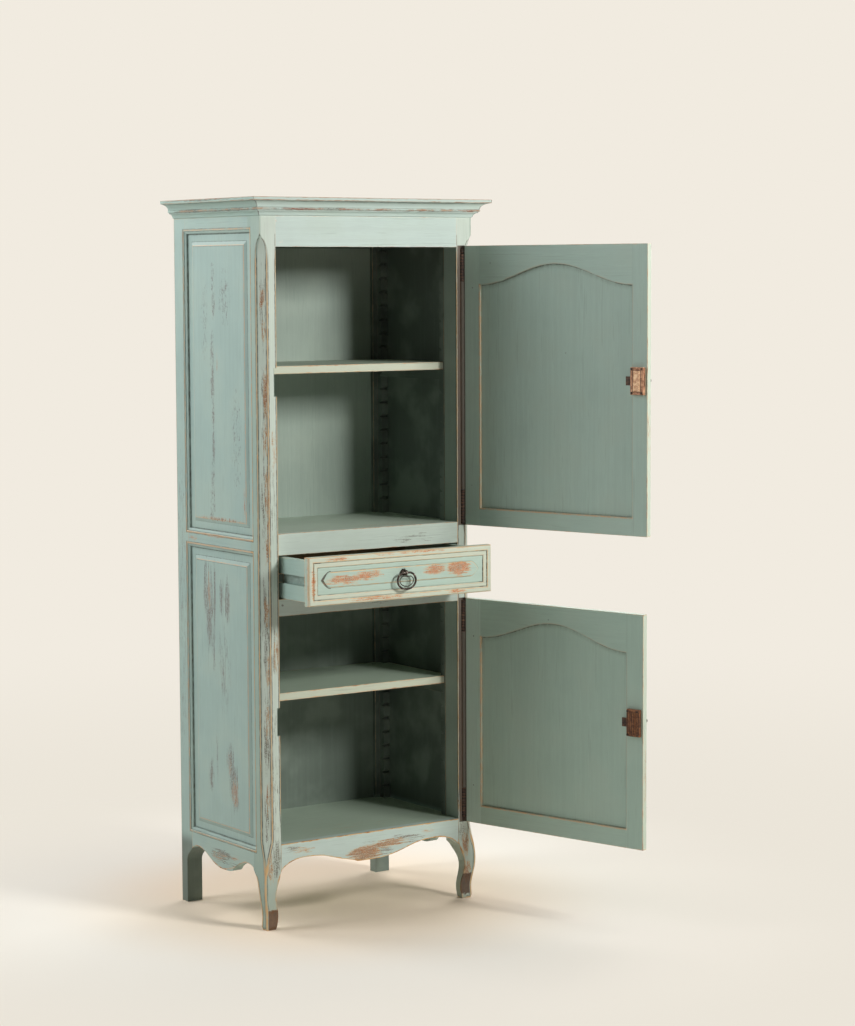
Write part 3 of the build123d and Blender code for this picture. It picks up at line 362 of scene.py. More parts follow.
boxArris = newGroup("boxArris", buildBoxArris, "Vector Centre Half")
frameLine = newGroup("frameLine", buildFrameLine, "Centre Half", "Across Up")
archLine = newGroup("archLine", buildArchLine, numbers="Across Up Left Right Low Shoulder Rise")
spotMask = newGroup("spot", buildSpot, "Vector Centre Reach", "Strength")
agedPaint = newGroup(
    "agedPaint", buildAgedPaint, "Vector",
    "Edge EdgeWidth EdgeWear Wear Stain Line Crease Bare Fade Brush Dab",
    {"Paint": finish["paint"], "Undercoat": finish["undercoat"], "Wood": finish["wood"],
     "StainColour": finish["stain"], "BareColour": finish["bareWood"]})
oldMetal = newGroup("oldMetal", buildOldMetal, "Vector", "Edge Rubbed Dark",
                    {"Skin": finish["pit"], "Metal": finish["pit"], "Rub": finish["pit"]})
print("shared effects built")


# ---- where a material reads its place ----
def doorOf(name):
    return next((which for which in ("upper", "lower") if name.startswith(which + "_door")), None)


# the door's own coordinates: X against its width, Y through it, Z up, about the hinge axis
def doorTurn(door):
    angle = math.radians(cabinet[door + "Angle"])
    turn = Matrix.Rotation(-angle, 3, "Z")
    axis = Vector((cabinet["hinge"][0], cabinet["hinge"][1], 0))
    return angle, turn, turn @ axis


def ownPlace(w, name):
    mapping = w.node("ShaderNodeMapping", vector_type="POINT")
    w.feed(mapping.inputs["Vector"], w.node("ShaderNodeTexCoord").outputs["Object"])
    mapping.inputs["Scale"].default_value = (1 / mm,) * 3
    door = doorOf(name)
    if door:
        angle, _, axis = doorTurn(door)
        mapping.inputs["Rotation"].default_value = (0, 0, -angle)
        mapping.inputs["Location"].default_value = (-axis.x, -axis.y, 0)
    return mapping.outputs[0]


# lowest and highest corner of a piece in the coordinates that its material reads
def ownBox(name, fold=False):
    mesh = nodes[name].data
    points = np.empty(len(mesh.vertices) * 3)
    mesh.vertices.foreach_get("co", points)
    points = points.reshape(-1, 3) / mm
    door = doorOf(name)
    if door:
        _, turn, axis = doorTurn(door)
        points = points @ np.array(turn).T - np.array(axis)
    if fold:
        points = np.abs(points) * [1, 0, 0] + points * [0, 1, 1]
    return points.min(0), points.max(0)


def alongGrain(w, vector, grain):
    if grain == "z":
        return vector
    x, y, z = w.split(vector)
    return w.join(y, z, x) if grain == "x" else w.join(z, x, y)


def newMaterial(name):
    material = bpy.data.materials.new(name)
    material.use_nodes = True
    material.node_tree.nodes.clear()
    w = Wires(material.node_tree)
    shader = w.node("ShaderNodeBsdfPrincipled")
    output = w.node("ShaderNodeOutputMaterial")
    w.feed(output.inputs["Surface"], shader.outputs[0])
    return material, w, shader


# what an effect gives goes to the shader, with a relief of some depth, and the material to the piece
def dress(name, material, w, shader, made, depth):
    for socket, title in (("Base Color", "Colour"), ("Roughness", "Roughness"), ("Metallic", "Metallic")):
        if title in made:
            w.feed(shader.inputs[socket], made[title])
    relief = w.node("ShaderNodeBump")
    relief.inputs["Strength"].default_value = 0.6
    relief.inputs["Distance"].default_value = depth * mm
    w.feed(relief.inputs["Height"], made["Height"])
    w.feed(shader.inputs["Normal"], relief.outputs[0])
    slots = nodes[name].material_slots
    for slot in slots:
        slot.material = material
    if not slots:
        nodes[name].data.materials.append(material)


# spots are (x, y, z, reach x, reach y, reach z, strength); the strongest one wins
def spots(w, vector, places):
    masks = [w.use(spotMask, Vector=vector, Centre=place[0:3], Reach=place[3:6], Strength=place[6])["Mask"]
             for place in places]
    return w.most(*masks) if masks else 0


# the distance to the nearest arris of the box between two corners
def boxEdge(w, place, low, high):
    return w.use(boxArris, Vector=place, Centre=tuple((low + high) / 2), Half=tuple((high - low) / 2))["Edge"]


# one painted piece; lines(w, x, y, z) gives extra values for it, such as rubbed lines and creases
def paintPiece(name, grain="z", edgeWidth=1.6, edgeWear=1, wear=(), stain=(), fold=False, box=None, lines=None,
               fade=0, brush=1, bareSide=None, arris=None, inside=None, **colours):
    material, w, shader = newMaterial(name + "Paint")
    place = ownPlace(w, name)
    if fold:
        x, y, z = w.split(place)
        place = w.join(abs(x), y, z)
    x, y, z = w.split(place)
    low, high = np.array(ownBox(name, fold) if box is None else box)
    values = {"Vector": alongGrain(w, place, grain), "EdgeWidth": edgeWidth, "EdgeWear": edgeWear,
              "Edge": arris(w, x, y, z) if arris else boxEdge(w, place, low, high),
              "Wear": spots(w, place, wear), "Stain": spots(w, place, stain), "Fade": fade, "Brush": brush,
              **colours}
    # faces inside the cabinet take the darker paint: painted shade
    if inside:
        values["Paint"] = w.mix(inside(w, x, y, z), values.get("Paint", finish["paint"]), finish["shadePaint"])
    if bareSide:
        values["Bare"] = bareSide(w, x, y, z)
    if lines:
        values.update(lines(w, x, y, z))
    dress(name, material, w, shader, w.use(agedPaint, **values), 0.6)


# ---- the side frames: rubbed moulding round both panels and dark quirks beside it ----
sideFrame = {"half": 153.5, "lower": (201.5, 926), "upper": (974, 1715.5), "moulding": 11.5,
             "bevel": (19.5, 29.5)}


def sideOutside(w, y, z, which):
    low, high = sideFrame[which]
    return w.use(frameLine, Across=y, Up=z, Centre=(0, (low + high) / 2, 0),
                 Half=(sideFrame["half"], (high - low) / 2, 0))["Outside"]


# on the frame members: the bead outside the panel is rubbed, and its quirks are darkened with dirt and painted shade
def mouldingLines(w, x, y, z):
    nearest = w.least(*(w.most(sideOutside(w, y, z, which), -2) for which in ("lower", "upper")))
    middle = w.band(z, 880, 915, 985, 1000)
    rubbed = w.line(nearest, sideFrame["moulding"] - 1.6, 2.6) * (0.9 + middle * 1.4)
    crease = w.most(w.line(nearest, sideFrame["moulding"] + 1.2, 1.2), w.line(nearest, 6.6, 0.8),
                    w.line(nearest, 0, 1.2))
    outward = w.step(abs(x), 300, 303)
    return {"Line": rubbed * outward, "Crease": crease * outward * 0.8}


# the faces that look into the cabinet are darker: painted shade
def insideFace(w, x, y, z):
    return w.step(abs(x), 301, 298) * w.step(z, 205, 225)


# on a front post these are the inner face and the walls of the lock pockets, which take painted shade
def insidePost(w, x, y, z):
    return w.step(abs(x), 286, 284) * w.step(y, -207.9, -206.9) * w.step(z, 160, 180)


# the rear posts take painted shade on their inside faces and, less of it, on the legs below about 150 mm
def rearShade(w, x, y, z):
    return w.most(insideFace(w, x, y, z), w.step(z, 190, 150) * 0.8)


# on a panel: the field's edge is rubbed, more so at its foot; dirt and painted shade lie at the frame, and painted
# shade at the foot of the field's bevel, stronger on its top and front
def panelLines(which, footWear):
    def lines(w, x, y, z):
        outside = sideOutside(w, y, z, which)
        low, high = sideFrame[which]
        field = w.line(outside, -sideFrame["bevel"][1] + 0.4, 1.7)
        foot = w.step(z, low + 75, low + 30)
        strong = w.most(w.step(z, high - 60, high - 25), w.step(y, -100, -118))
        outward = w.step(abs(x), 300, 301)
        rubbed = w.share(field, 0.45 + strong * 0.6 + foot * footWear)
        crease = w.most(w.line(outside, -0.5, 2) * 0.8,
                        w.line(outside, -sideFrame["bevel"][0], 1.1) * (0.35 + strong * 0.45),
                        w.line(outside, -sideFrame["bevel"][1] - 2, 0.9) * (0.2 + strong * 0.4))
        return {"Line": rubbed * outward, "Crease": crease * outward}
    return lines


# ---- the front posts ----
# by height: how far the leg swells out, how wide the cant is, how far in and back the leg's other edges lie
frontPost = {
    "swell": ((0, -2.6), (8, -2.2), (38, -3), (65, 0.8), (104, 5), (152, 1.5), (205, 0), (300, 0)),
    "cant": ((137, 0), (158, 5), (180, 9.2), (205, 15.5), (228, 20), (300, 20)),
    "cantHead": ((1600, 20), (1662, 20), (1680, 17.5), (1695, 12), (1712, 0), (1760, 0)),
    "inner": ((0, 31), (8, 32.5), (40, 36.3), (61, 31.5), (88, 27), (113, 32), (133, 39.5), (147, 45),
              (300, 45)),
    "depth": ((0, 26), (8, 25.5), (45, 24), (90, 25), (111, 29), (130, 38.5), (147, 55), (300, 55)),
}


def postArris(w, x, y, z):
    swell = w.curve(z, frontPost["swell"], -5, 10)
    cant = w.least(*(w.curve(z, frontPost[key], 0, 25) for key in ("cant", "cantHead")))
    inner, depth = (w.curve(z, frontPost[key], 0, 60) for key in ("inner", "depth"))
    side = cabinet["halfWidth"] - x + swell
    face = y - cabinet["front"] + swell
    innerEdge = w.far(side - inner - swell, face)
    # the leg's rear arris ends where the post begins
    rearEdge = w.far(side, face - depth - swell) + (1 - w.step(z, 152, 140)) * 60
    toe = w.most(z, 0) + 1
    return w.least(w.far(side, face - cant), w.far(side - cant, face), innerEdge, rearEdge, toe)


# the cant's arrises are rubbed all the way down, with dirt beside them; its head is only outlined
def postLines(w, x, y, z):
    base = mouldingLines(w, x, y, z)
    edge = postArris(w, abs(x), y, z)
    head = w.step(z, 1640, 1690)
    outline = w.line(edge, 1.2, 1.3) * head * w.step(z, 1714, 1708)
    shaft = (1 - head) * w.step(z, 150, 190)
    rubbed = w.step(edge, 1.7, 0.9) * shaft * 0.8
    beside = w.line(edge, 3.2, 1.5) * shaft * 1.3
    leg = w.step(z, 190, 150) * w.step(abs(x) + y, 86, 92)
    base["Line"] = w.most(base["Line"], rubbed, w.step(edge, 4.6, 3.4) * leg)
    base["Crease"] = w.most(base["Crease"], outline, beside, w.line(edge, 6.4, 1.6) * leg * 0.7)
    base["EdgeWear"] = 1 - head * 0.85
    base["EdgeWidth"] = 1.8 + w.step(z, 160, 130) * 2.6
    # the front face is paler than the side face: partly faded paint, partly painted light from the front
    paint = w.mix(w.step(abs(x), 308, 312), tint(194, 206, 196), tint(150, 171, 161))
    # low on the leg the paint darkens towards the floor: painted shade
    paint = w.mix(w.step(z, 230, 90) * 0.6, paint, tint(134, 152, 143))
    # painted shade on the inner face and in the lock pockets
    base["Paint"] = w.mix(insidePost(w, x, y, z), paint, finish["postShade"])
    return base


# the front of each foot is bare, brown wood up to a ragged line
def bareFoot(low, high):
    def share(w, x, y, z):
        ragged = z + (w.noise(w.join(x, y, z), 9, 4, 0.65) - 0.5) * 16
        deep = y - cabinet["front"] + w.curve(z, frontPost["swell"], -5, 10)
        front = w.step(abs(x) + y, 101.5, 98) * w.step(deep, 3.5, 1.5)
        return w.band(ragged, low - 3, low + 2, high - 3, high + 2) * front * 0.92
    return share


# where the doors' hinged edges lie against it the right post is dark, bare wood too, standing partly for painted
# shade of the doors' edges
def bareRight(w, x, y, z):
    beside = w.band(x, 270.8, 272, 293, 294)
    doorHeights = w.most(w.band(z, 972, 974, 1684, 1686), w.band(z, 202, 204, 785, 787))
    return w.most(bareFoot(12, 66)(w, x, y, z), beside * doorHeights * 0.9)


leftPost = {
    "bareSide": bareFoot(-20, 50), "BareColour": tint(104, 72, 48),
    "wear": (
        (301, -198, 1555, 9, 9, 30, 0.9), (299, -200, 1480, 7, 8, 40, 0.55), (297, -203, 1330, 7, 7, 95, 0.85),
        (298, -202, 1215, 7, 8, 60, 0.75), (297, -203, 1060, 7, 8, 110, 0.7), (298, -203, 940, 7, 8, 60, 0.6),
        (300, -201, 790, 7, 8, 44, 0.7), (297, -203, 640, 6, 7, 70, 0.6), (300, -200, 520, 7, 8, 60, 0.6),
        (300, -201, 330, 7, 8, 70, 0.6), (278, -208, 1185, 10, 5, 70, 0.5), (278, -208, 690, 9, 5, 60, 0.7),
        (300, -208, 150, 10, 12, 50, 0.7), (288, -212, 46, 18, 12, 8, 1.3), (286, -213, 4, 20, 12, 8, 1.2),
    ),
    "stain": (
        (301, -199, 1540, 9, 9, 120, 0.75), (301, -199, 1300, 9, 9, 150, 0.8), (301, -199, 1040, 9, 9, 150, 0.85),
        (301, -199, 760, 9, 9, 160, 0.9), (301, -199, 480, 9, 9, 160, 0.95), (301, -199, 280, 9, 9, 90, 0.95),
        (281, -209, 690, 9, 5, 76, 0.95), (284, -209, 1100, 12, 5, 160, 0.38), (284, -209, 380, 14, 5, 200, 0.34),
        (284, -209, 180, 16, 8, 60, 1),
    ),
}
rightPost = {
    "bareSide": bareRight, "BareColour": tint(84, 60, 44),
    "wear": (
        (300, -202, 1240, 8, 8, 120, 0.55), (300, -200, 820, 9, 10, 60, 0.75), (296, -210, 70, 16, 12, 40, 0.95),
        (290, -211, 150, 14, 10, 44, 0.8), (272, -208, 250, 9, 7, 26, 0.7), (300, -200, 420, 8, 10, 120, 0.65),
    ),
    "stain": ((284, -209, 178, 16, 8, 40, 0.9), (301, -199, 700, 11, 11, 300, 0.65)),
}
# the left post's spots lie on the folded, positive side, so that both posts read alike
for name, settings in (("front_post_left", leftPost), ("front_post_right", rightPost)):
    paintPiece(name, arris=postArris, fold=True, lines=postLines, **settings, StainColour=finish["darkStain"],
               Wood=tint(132, 84, 52), Undercoat=tint(196, 162, 116))


# one piece of the side frames; its own settings go before those that they all share
def paintSide(name, **settings):
    paintPiece(name, **{"fold": True, "lines": mouldingLines, "inside": insideFace, "Paint": finish["sidePaint"],
                        "Undercoat": finish["sideUndercoat"], **settings})


for side in ("left", "right"):
    paintSide("rear_post_" + side, bareSide=lambda w, x, y, z: w.step(y, 207, 208.2), edgeWear=0.8,
              inside=rearShade, wear=((306, 170, 560, 12, 12, 200, 0.42),),
              stain=((313, 190, 800, 6, 30, 500, 0.35),))
print("posts painted")

# ---- front rails ----
# an apron's lower edge as (distance from the middle, height); it is rubbed along that curve
frontApron = ((0, 141), (50, 144.5), (95, 155), (145, 168.5), (184, 172), (226, 169), (268.5, 147))
sideApron = ((0, 119), (56.5, 133), (92.5, 150.5), (122.5, 156), (153.5, 147))


def apronArris(points, across, face):
    def arris(w, x, y, z):
        low = w.curve(abs(x if across == "x" else y), points, 100, 220)
        # measured square to the curve, whose slope is about a half
        rise = (z - low) * 0.88
        if across == "y":
            return w.far(rise, face - x)
        return w.least(w.far(rise, y - face), w.far(212 - z, y - face))
    return arris


def seamLines(w, x, y, z):
    return {"Line": w.line(abs(x), 268.5, 1) * 0.7}


railPaint = {"grain": "x", "lines": seamLines, "Paint": finish["frontPaint"]}
paintPiece("frieze_rail", edgeWidth=1.2, **railPaint,
           wear=((-266, -209, 1742, 5, 4, 26, 0.42), (-250, -209, 1693, 12, 4, 6, 0.35)),
           Undercoat=tint(226, 222, 208))
# the mid rail is painted paler still: painted light
paintPiece("mid_rail", edgeWidth=1.4, fade=0.1, **{**railPaint, "Paint": tint(196, 212, 203)},
           StainColour=finish["darkStain"],
           stain=((100, -209, 948, 46, 4, 10, 0.55), (150, -209, 956, 30, 4, 7, 0.5),
                  (190, -209, 943, 40, 4, 7, 0.42)))
paintPiece("drawer_rail", fade=0.1, **railPaint, StainColour=finish["darkStain"],
           stain=((-258, -209, 806, 3.5, 4, 3.5, 2.4), (60, -209, 800, 160, 4, 14, 0.35)))
paintPiece("front_apron", edgeWidth=2.6, edgeWear=1.6, arris=apronArris(frontApron, "x", cabinet["front"]),
           **railPaint, Undercoat=tint(206, 166, 112), Wood=tint(150, 94, 50), StainColour=tint(104, 78, 58),
           wear=((-22, -209, 160, 62, 6, 26, 1.25), (48, -209, 176, 75, 6, 13, 0.95),
                 (-205, -209, 190, 40, 5, 12, 0.5), (170, -209, 194, 34, 5, 7, 0.5)),
           stain=((0, -209, 164, 80, 6, 26, 0.95), (90, -209, 186, 60, 6, 9, 0.8),
                  (-235, -209, 196, 28, 5, 12, 0.7), (120, -209, 176, 50, 6, 16, 0.5)))

# ---- sides ----
paintSide("side_top_rails", grain="y", edgeWear=0.3)
paintSide("side_mid_rails", grain="y", edgeWear=0.3,
          wear=((313, 130, 950, 4, 24, 10, 0.6), (313, 0, 962, 4, 90, 5, 0.5)))
paintSide("side_aprons", grain="y", edgeWidth=2.2, edgeWear=1.5, StainColour=tint(96, 72, 62),
          arris=apronArris(sideApron, "y", cabinet["halfWidth"]),
          wear=((313, 14, 150, 5, 46, 15, 0.55), (313, -60, 158, 5, 30, 10, 0.4)),
          stain=((313, 5, 152, 6, 66, 20, 1.15), (313, -70, 134, 6, 34, 12, 0.8)))


# spots given as (y, z, reach along y, reach along z, strength) on a panel's field
def onField(*places):
    return tuple((309, y, z, 12, reachY, reachZ, strength) for y, z, reachY, reachZ, strength in places)


upperPanelStain = onField(
    (26, 1610, 12, 46, 0.62), (24, 1540, 11, 46, 0.66), (32, 1420, 13, 66, 0.85), (32, 1345, 11, 56, 0.98),
    (30, 1262, 10, 52, 0.85), (30, 1190, 10, 54, 0.84), (34, 1120, 10, 62, 0.85), (36, 1048, 18, 52, 0.56),
    (40, 1008, 14, 24, 0.62), (-30, 1560, 34, 90, 0.42), (70, 1500, 22, 120, 0.36), (-80, 1200, 30, 160, 0.34),
)
lowerPanelStain = onField(
    (78, 830, 12, 90, 0.95), (58, 770, 22, 130, 0.98), (34, 800, 7, 120, 0.95), (40, 690, 8, 116, 0.84),
    (0, 810, 14, 64, 0.9), (-28, 805, 18, 70, 1.1), (-10, 640, 34, 140, 0.44), (60, 352, 16, 50, 0.98),
    (30, 400, 5, 76, 0.8), (-36, 400, 24, 50, 0.98), (-52, 345, 28, 62, 1.15), (-58, 300, 20, 42, 0.98),
)

for side in ("left", "right"):
    paintSide("upper_panel_" + side, edgeWear=0, lines=panelLines("upper", 1), Wood=tint(126, 84, 70),
              Dab=0.85, stain=upperPanelStain if side == "left" else upperPanelStain[3:7],
              wear=onField((0, 1005, 125, 7, 0.78), (-116, 1040, 7, 60, 0.6), (10, 1395, 6, 60, 0.42)))
    paintSide("lower_panel_" + side, edgeWear=0, lines=panelLines("lower", 0.6), Wood=tint(126, 84, 70),
              stain=lowerPanelStain if side == "left" else lowerPanelStain[5:9],
              wear=onField((-56, 320, 18, 50, 0.72), (60, 820, 10, 64, 0.55), (-30, 395, 14, 40, 0.5)))
print("sides painted")


# ---- back and boards ----
def bareOutside(w, x, y, z):
    return w.step(y, 174, 176)


# the back panels and back rails take painted shade, deeper in the lower compartment
for which in ("upper", "lower"):
    paintPiece(which + "_back_panel", edgeWear=0, brush=1.3, bareSide=bareOutside,
               Paint=finish[which + "BackPaint"])
paintPiece("back_rails", grain="x", edgeWear=0.4, bareSide=bareOutside, Paint=finish["lowerBackPaint"])

# the upper floor is painted paler than the other boards: painted light
for name, wear in (("lower_floor", 0.12), ("upper_floor", 0.2), ("dust_board", 0.1)):
    paintPiece(name, grain="x", edgeWear=0, brush=1.2,
               Paint=tint(182, 197, 182) if name == "upper_floor" else finish["boardPaint"],
               wear=((0, -120, 212, 200, 60, 12, wear), (120, -150, 982, 160, 50, 12, wear)))
# the shelves' front edges are painted paler: painted light
for name in ("upper_shelf", "lower_shelf"):
    paintPiece(name, grain="x", edgeWidth=2.2, brush=1.1, Paint=finish["boardPaint"],
               lines=lambda w, x, y, z: {"Fade": w.step(y, -149, -150.4) * 0.45})
# racks, bearers and runners inside the cabinet are painted in shade
paintPiece("shelf_racks", edgeWear=0.4, edgeWidth=1, fold=True, Paint=finish["shadePaint"])
paintPiece("shelf_bearers", grain="y", edgeWear=0.4, edgeWidth=1, fold=True, Paint=finish["shadePaint"])
paintPiece("top_board", grain="x", bareSide=lambda w, x, y, z: 1)
paintPiece("drawer_runners", grain="y", fold=True, Paint=finish["shadePaint"])
print("back and boards painted")


# ---- cornice: rubbed lip and bead, brown breaks along the bead, dark mitre ----
# the lip's two arrises as (how far out, height); the others are heights
cornice = {"lip": ((39, 1800), (38, 1792)), "bead": 1772.4, "step": 1769.5, "grooves": (1790, 1775.6),
           "upperFace": (1798, 1799.6)}


def corniceArris(out, z):
    return z.wires.least(*(z.wires.far(out - reach, z - height) for reach, height in cornice["lip"]))


def corniceLines(w, x, y, z):
    mitre = w.line(cabinet["front"] - y - (abs(x) - cabinet["halfWidth"]), 0, 2.2)
    broken = w.line(z, cornice["bead"], 3.2) * w.step(w.noise(w.join(x, y, 0), 60, 3, 0.6), 0.47, 0.62)
    upper, lower = cornice["grooves"]
    dark = w.most(w.line(z, cornice["step"] - 0.8, 1.3), w.line(z, upper, 1.1), w.line(z, lower, 0.9),
                  mitre * 1.4)
    return {"Line": w.most(broken * 0.9, w.step(z, *cornice["upperFace"]) * 0.55), "Crease": dark * 0.8}


corniceWear = (
    (-195, -226, 1772, 75, 10, 4, 1.15), (-60, -226, 1772, 45, 10, 3.2, 0.8), (30, -226, 1772, 60, 10, 3, 0.7),
    (300, -226, 1772, 50, 10, 4, 1.2), (130, -226, 1772, 60, 8, 2.6, 0.55), (0, -247, 1799, 340, 6, 3, 0.35),
)
corniceTones = {"lines": corniceLines, "Wood": tint(128, 78, 60), "Undercoat": tint(176, 148, 124),
                "StainColour": finish["darkStain"]}
paintPiece("cornice_front", grain="x", arris=lambda w, x, y, z: corniceArris(cabinet["front"] - y, z),
           Paint=finish["frontPaint"], wear=corniceWear, **corniceTones,
           stain=((-150, -226, 1772, 170, 10, 4, 1), (200, -226, 1772, 160, 10, 3.5, 0.8),
                  (-321, -216, 1783, 4, 10, 18, 1.3), (0, -236, 1790, 340, 8, 3, 0.65)))
for side in ("left", "right"):
    paintPiece("cornice_" + side, grain="y", fold=True, Paint=tint(166, 190, 182), **corniceTones,
               arris=lambda w, x, y, z: corniceArris(x - cabinet["halfWidth"], z),
               wear=((352, 0, 1799, 6, 220, 3, 0.45),),
               stain=((331, -120, 1772, 12, 110, 5, 1.1), (331, 60, 1772, 12, 160, 5, 0.95),
                      (351, 0, 1797, 8, 230, 4, 0.95)))
print("cornice painted")

# ---- doors ----
# the panel's opening runs from left to right and from foot to shoulder, plus the rise of its serpentine top
doors = {
    "upper": {"width": 568, "low": 974, "high": 1684, "left": 56, "right": 523, "foot": 1019, "shoulder": 1585,
              "rise": 52, "nails": ((33, 1578), (29, 1076), (320, 1417), (90, 1640)), "lock": 1352.5},
    "lower": {"width": 568, "low": 204, "high": 785, "left": 57, "right": 517, "foot": 251, "shoulder": 688.5,
              "rise": 51.5, "nails": ((34, 689), (32, 302), (276, 750)), "lock": 518},
}


def doorLines(which):
    door = doors[which]

    def lines(w, x, y, z):
        across = -x
        outside = w.use(archLine, Across=across, Up=z, Left=door["left"], Right=door["right"], Low=door["foot"],
                        Shoulder=door["shoulder"], Rise=door["rise"])["Outside"]
        inner = w.step(y, -9, -6)
        outer = 1 - inner
        # the panel's left and bottom edges get a paler line and less crease, its top and right more: painted
        # highlight and painted shade
        plain = w.most(w.step(across, door["left"] + 6, door["left"]), w.step(z, door["foot"] + 6, door["foot"]))
        insideLine = w.line(outside, 1.4, 2.4) * (0.25 + plain * 0.6)
        outsideLine = w.line(outside, 8.4, 1.8) * 0.9
        # a dark band inside the panel under its serpentine top: painted shade of the top rail
        shade = (w.step(outside, -16, 0) * w.step(outside, 1, 0)
                 * w.step(z, door["shoulder"] - 90, door["shoulder"]) * 0.4)
        crease = w.most(w.line(outside, -0.8, 2) * (0.9 - plain * 0.4), w.line(outside, 10, 0.9) * outer * 0.6,
                        shade * inner)
        seams = w.most(w.line(across, door["left"], 0.6), w.line(across, door["right"], 0.6))
        seams = seams * w.step(outside, 9.5, 11) * 0.25
        dots = spots(w, w.join(across, 0, z), [(t, 0, up, 2.2, 2.2, 2.2, 1.6) for t, up in door["nails"]])
        dots = w.share(dots, 1) * inner
        return {"Line": w.most(insideLine * inner, outsideLine * outer), "Crease": w.most(crease, seams, dots),
                # the door's free edge is paler: painted light
                "Fade": w.step(across, door["width"] - 2, door["width"] - 0.6) * 0.35}
    return lines


# the edge that carries the barrels has lost its paint
def hingeNose(w, x, y, z):
    return w.step(x, -9.5, -8) * 0.92


for which, door in doors.items():
    outer, inner = cabinet["doorFaces"]
    box = ((-door["width"], outer, door["low"]), (0, inner, door["high"]))
    lines = doorLines(which)
    prefix = which + "_door_"
    middle = (door["foot"] + door["shoulder"]) / 2
    tone = finish["doorPaint" if which == "lower" else "upperDoorPaint"]
    # the hinge stile is painted paler than the rest of the door: painted light
    paintPiece(prefix + "hinge_stile", box=box, lines=lines, edgeWidth=1.3, Paint=tint(182, 204, 193),
               bareSide=hingeNose, BareColour=finish["darkWood"])
    paintPiece(prefix + "lock_stile", box=box, lines=lines, edgeWidth=2.4, Paint=tone,
               Undercoat=tint(206, 190, 164),
               wear=((-568, -9, door["lock"] - 130, 5, 12, 120, 0.4),
                     (-536, -18.5, door["lock"] - 22, 16, 5, 40, 0.45)))
    for rail in ("top_rail", "bottom_rail"):
        paintPiece(prefix + rail, grain="x", box=box, lines=lines, edgeWidth=1.3, Paint=tone)
    paintPiece(prefix + "panel", edgeWear=0, lines=lines, Paint=tone,
               stain=((-380, -16, middle + 70, 16, 6, 90, 0.62), (-362, -16, middle - 30, 10, 6, 60, 0.6),
                      (-190, -16, middle - 100, 20, 6, 60, 0.55), (-255, -16, door["foot"] + 20, 90, 6, 26, 0.4)))
print("doors painted")


# ---- metalwork ----
# one metal piece; dark(w, left, right, low, high) masks its shadows, from the distances to its box
def metalPiece(name, skin, metal, rub, rubbed, dark=None, pale=None):
    material, w, shader = newMaterial(name + "Metal")
    place = ownPlace(w, name)
    x, y, z = w.split(place)
    low, high = ownBox(name)
    values = {"Vector": place, "Edge": boxEdge(w, place, low, high), "Skin": skin, "Metal": metal, "Rub": rub,
              "Rubbed": rubbed}
    margins = (x - float(low[0]), float(high[0]) - x, z - float(low[2]), float(high[2]) - z)
    if dark:
        values["Dark"] = dark(w, *margins)
    if pale:
        share = w.step(w.least(*margins), 8, 9.5)
        values["Skin"] = w.mix(share, skin, pale)
        values["Metal"] = w.mix(share, metal, skin)
    made = w.use(oldMetal, **values)
    if dark:
        made["Height"] = made["Height"] - values["Dark"] * 2
    dress(name, material, w, shader, made, 0.4)


ridgePitch, beadPitch = 6.4, 7.5


# painted shadow: a dark outline round the upper lock plate's sunk panel, dark upright ridges on the lower plate
def plateOutline(w, left, right, low, high):
    return w.line(w.least(left, right, low, high), 7, 1.1) * 0.8


def plateRidges(w, left, right, low, high):
    wave = w.math("SINE", left * (2 * math.pi / ridgePitch))
    return w.step(wave, 0.3, 0.9) * w.step(w.least(low, high), 4, 6) * 0.75


# the barrels are turned with beads: painted shadow in the necks between rings up their height
def beads(w, left, right, low, high):
    return w.step(w.math("SINE", low * (2 * math.pi / beadPitch)), -0.2, -0.8) * 0.85


metals = {
    "hinge": (tint(84, 60, 46), tint(44, 33, 28), tint(134, 106, 84)),
    "upperLock": (tint(188, 142, 112), tint(134, 92, 70), tint(220, 190, 160)),
    "lowerLock": (tint(132, 88, 58), tint(84, 52, 36), tint(168, 128, 92)),
    "pull": (tint(66, 52, 44), tint(36, 31, 28), tint(190, 182, 172)),
}
for name in ("post_hinges", "upper_door_hinges", "lower_door_hinges"):
    metalPiece(name, *metals["hinge"], rubbed=0.45, dark=beads)
for name in ("upper_door_bolt", "lower_door_bolt", "upper_door_lock_screws", "lower_door_lock_screws"):
    metalPiece(name, *metals["hinge"], rubbed=0.3)
metalPiece("upper_door_lock_case", *metals["upperLock"], rubbed=0.5, dark=plateOutline, pale=tint(228, 198, 162))
metalPiece("lower_door_lock_case", *metals["lowerLock"], rubbed=0.4, dark=plateRidges)
for name in ("upper_door_turn_knob", "lower_door_turn_knob", "upper_door_escutcheon", "lower_door_escutcheon"):
    metalPiece(name, *metals["pull"], rubbed=0.6)
print("metalwork done")


# ---- new pieces, built as grids of points in millimetres ----
# faces of a grid of rows by columns; around joins the last column to the first, closed the last row
def gridFaces(rows, columns, around=False, closed=False):
    row, column = np.meshgrid(np.arange(rows - 1 + closed), np.arange(columns - 1 + around), indexing="ij")
    nextRow, nextColumn = (row + 1) % rows, (column + 1) % columns
    corners = ((row, column), (row, nextColumn), (nextRow, nextColumn), (nextRow, column))
    return np.stack([(a * columns + b).ravel() for a, b in corners], axis=1).tolist()


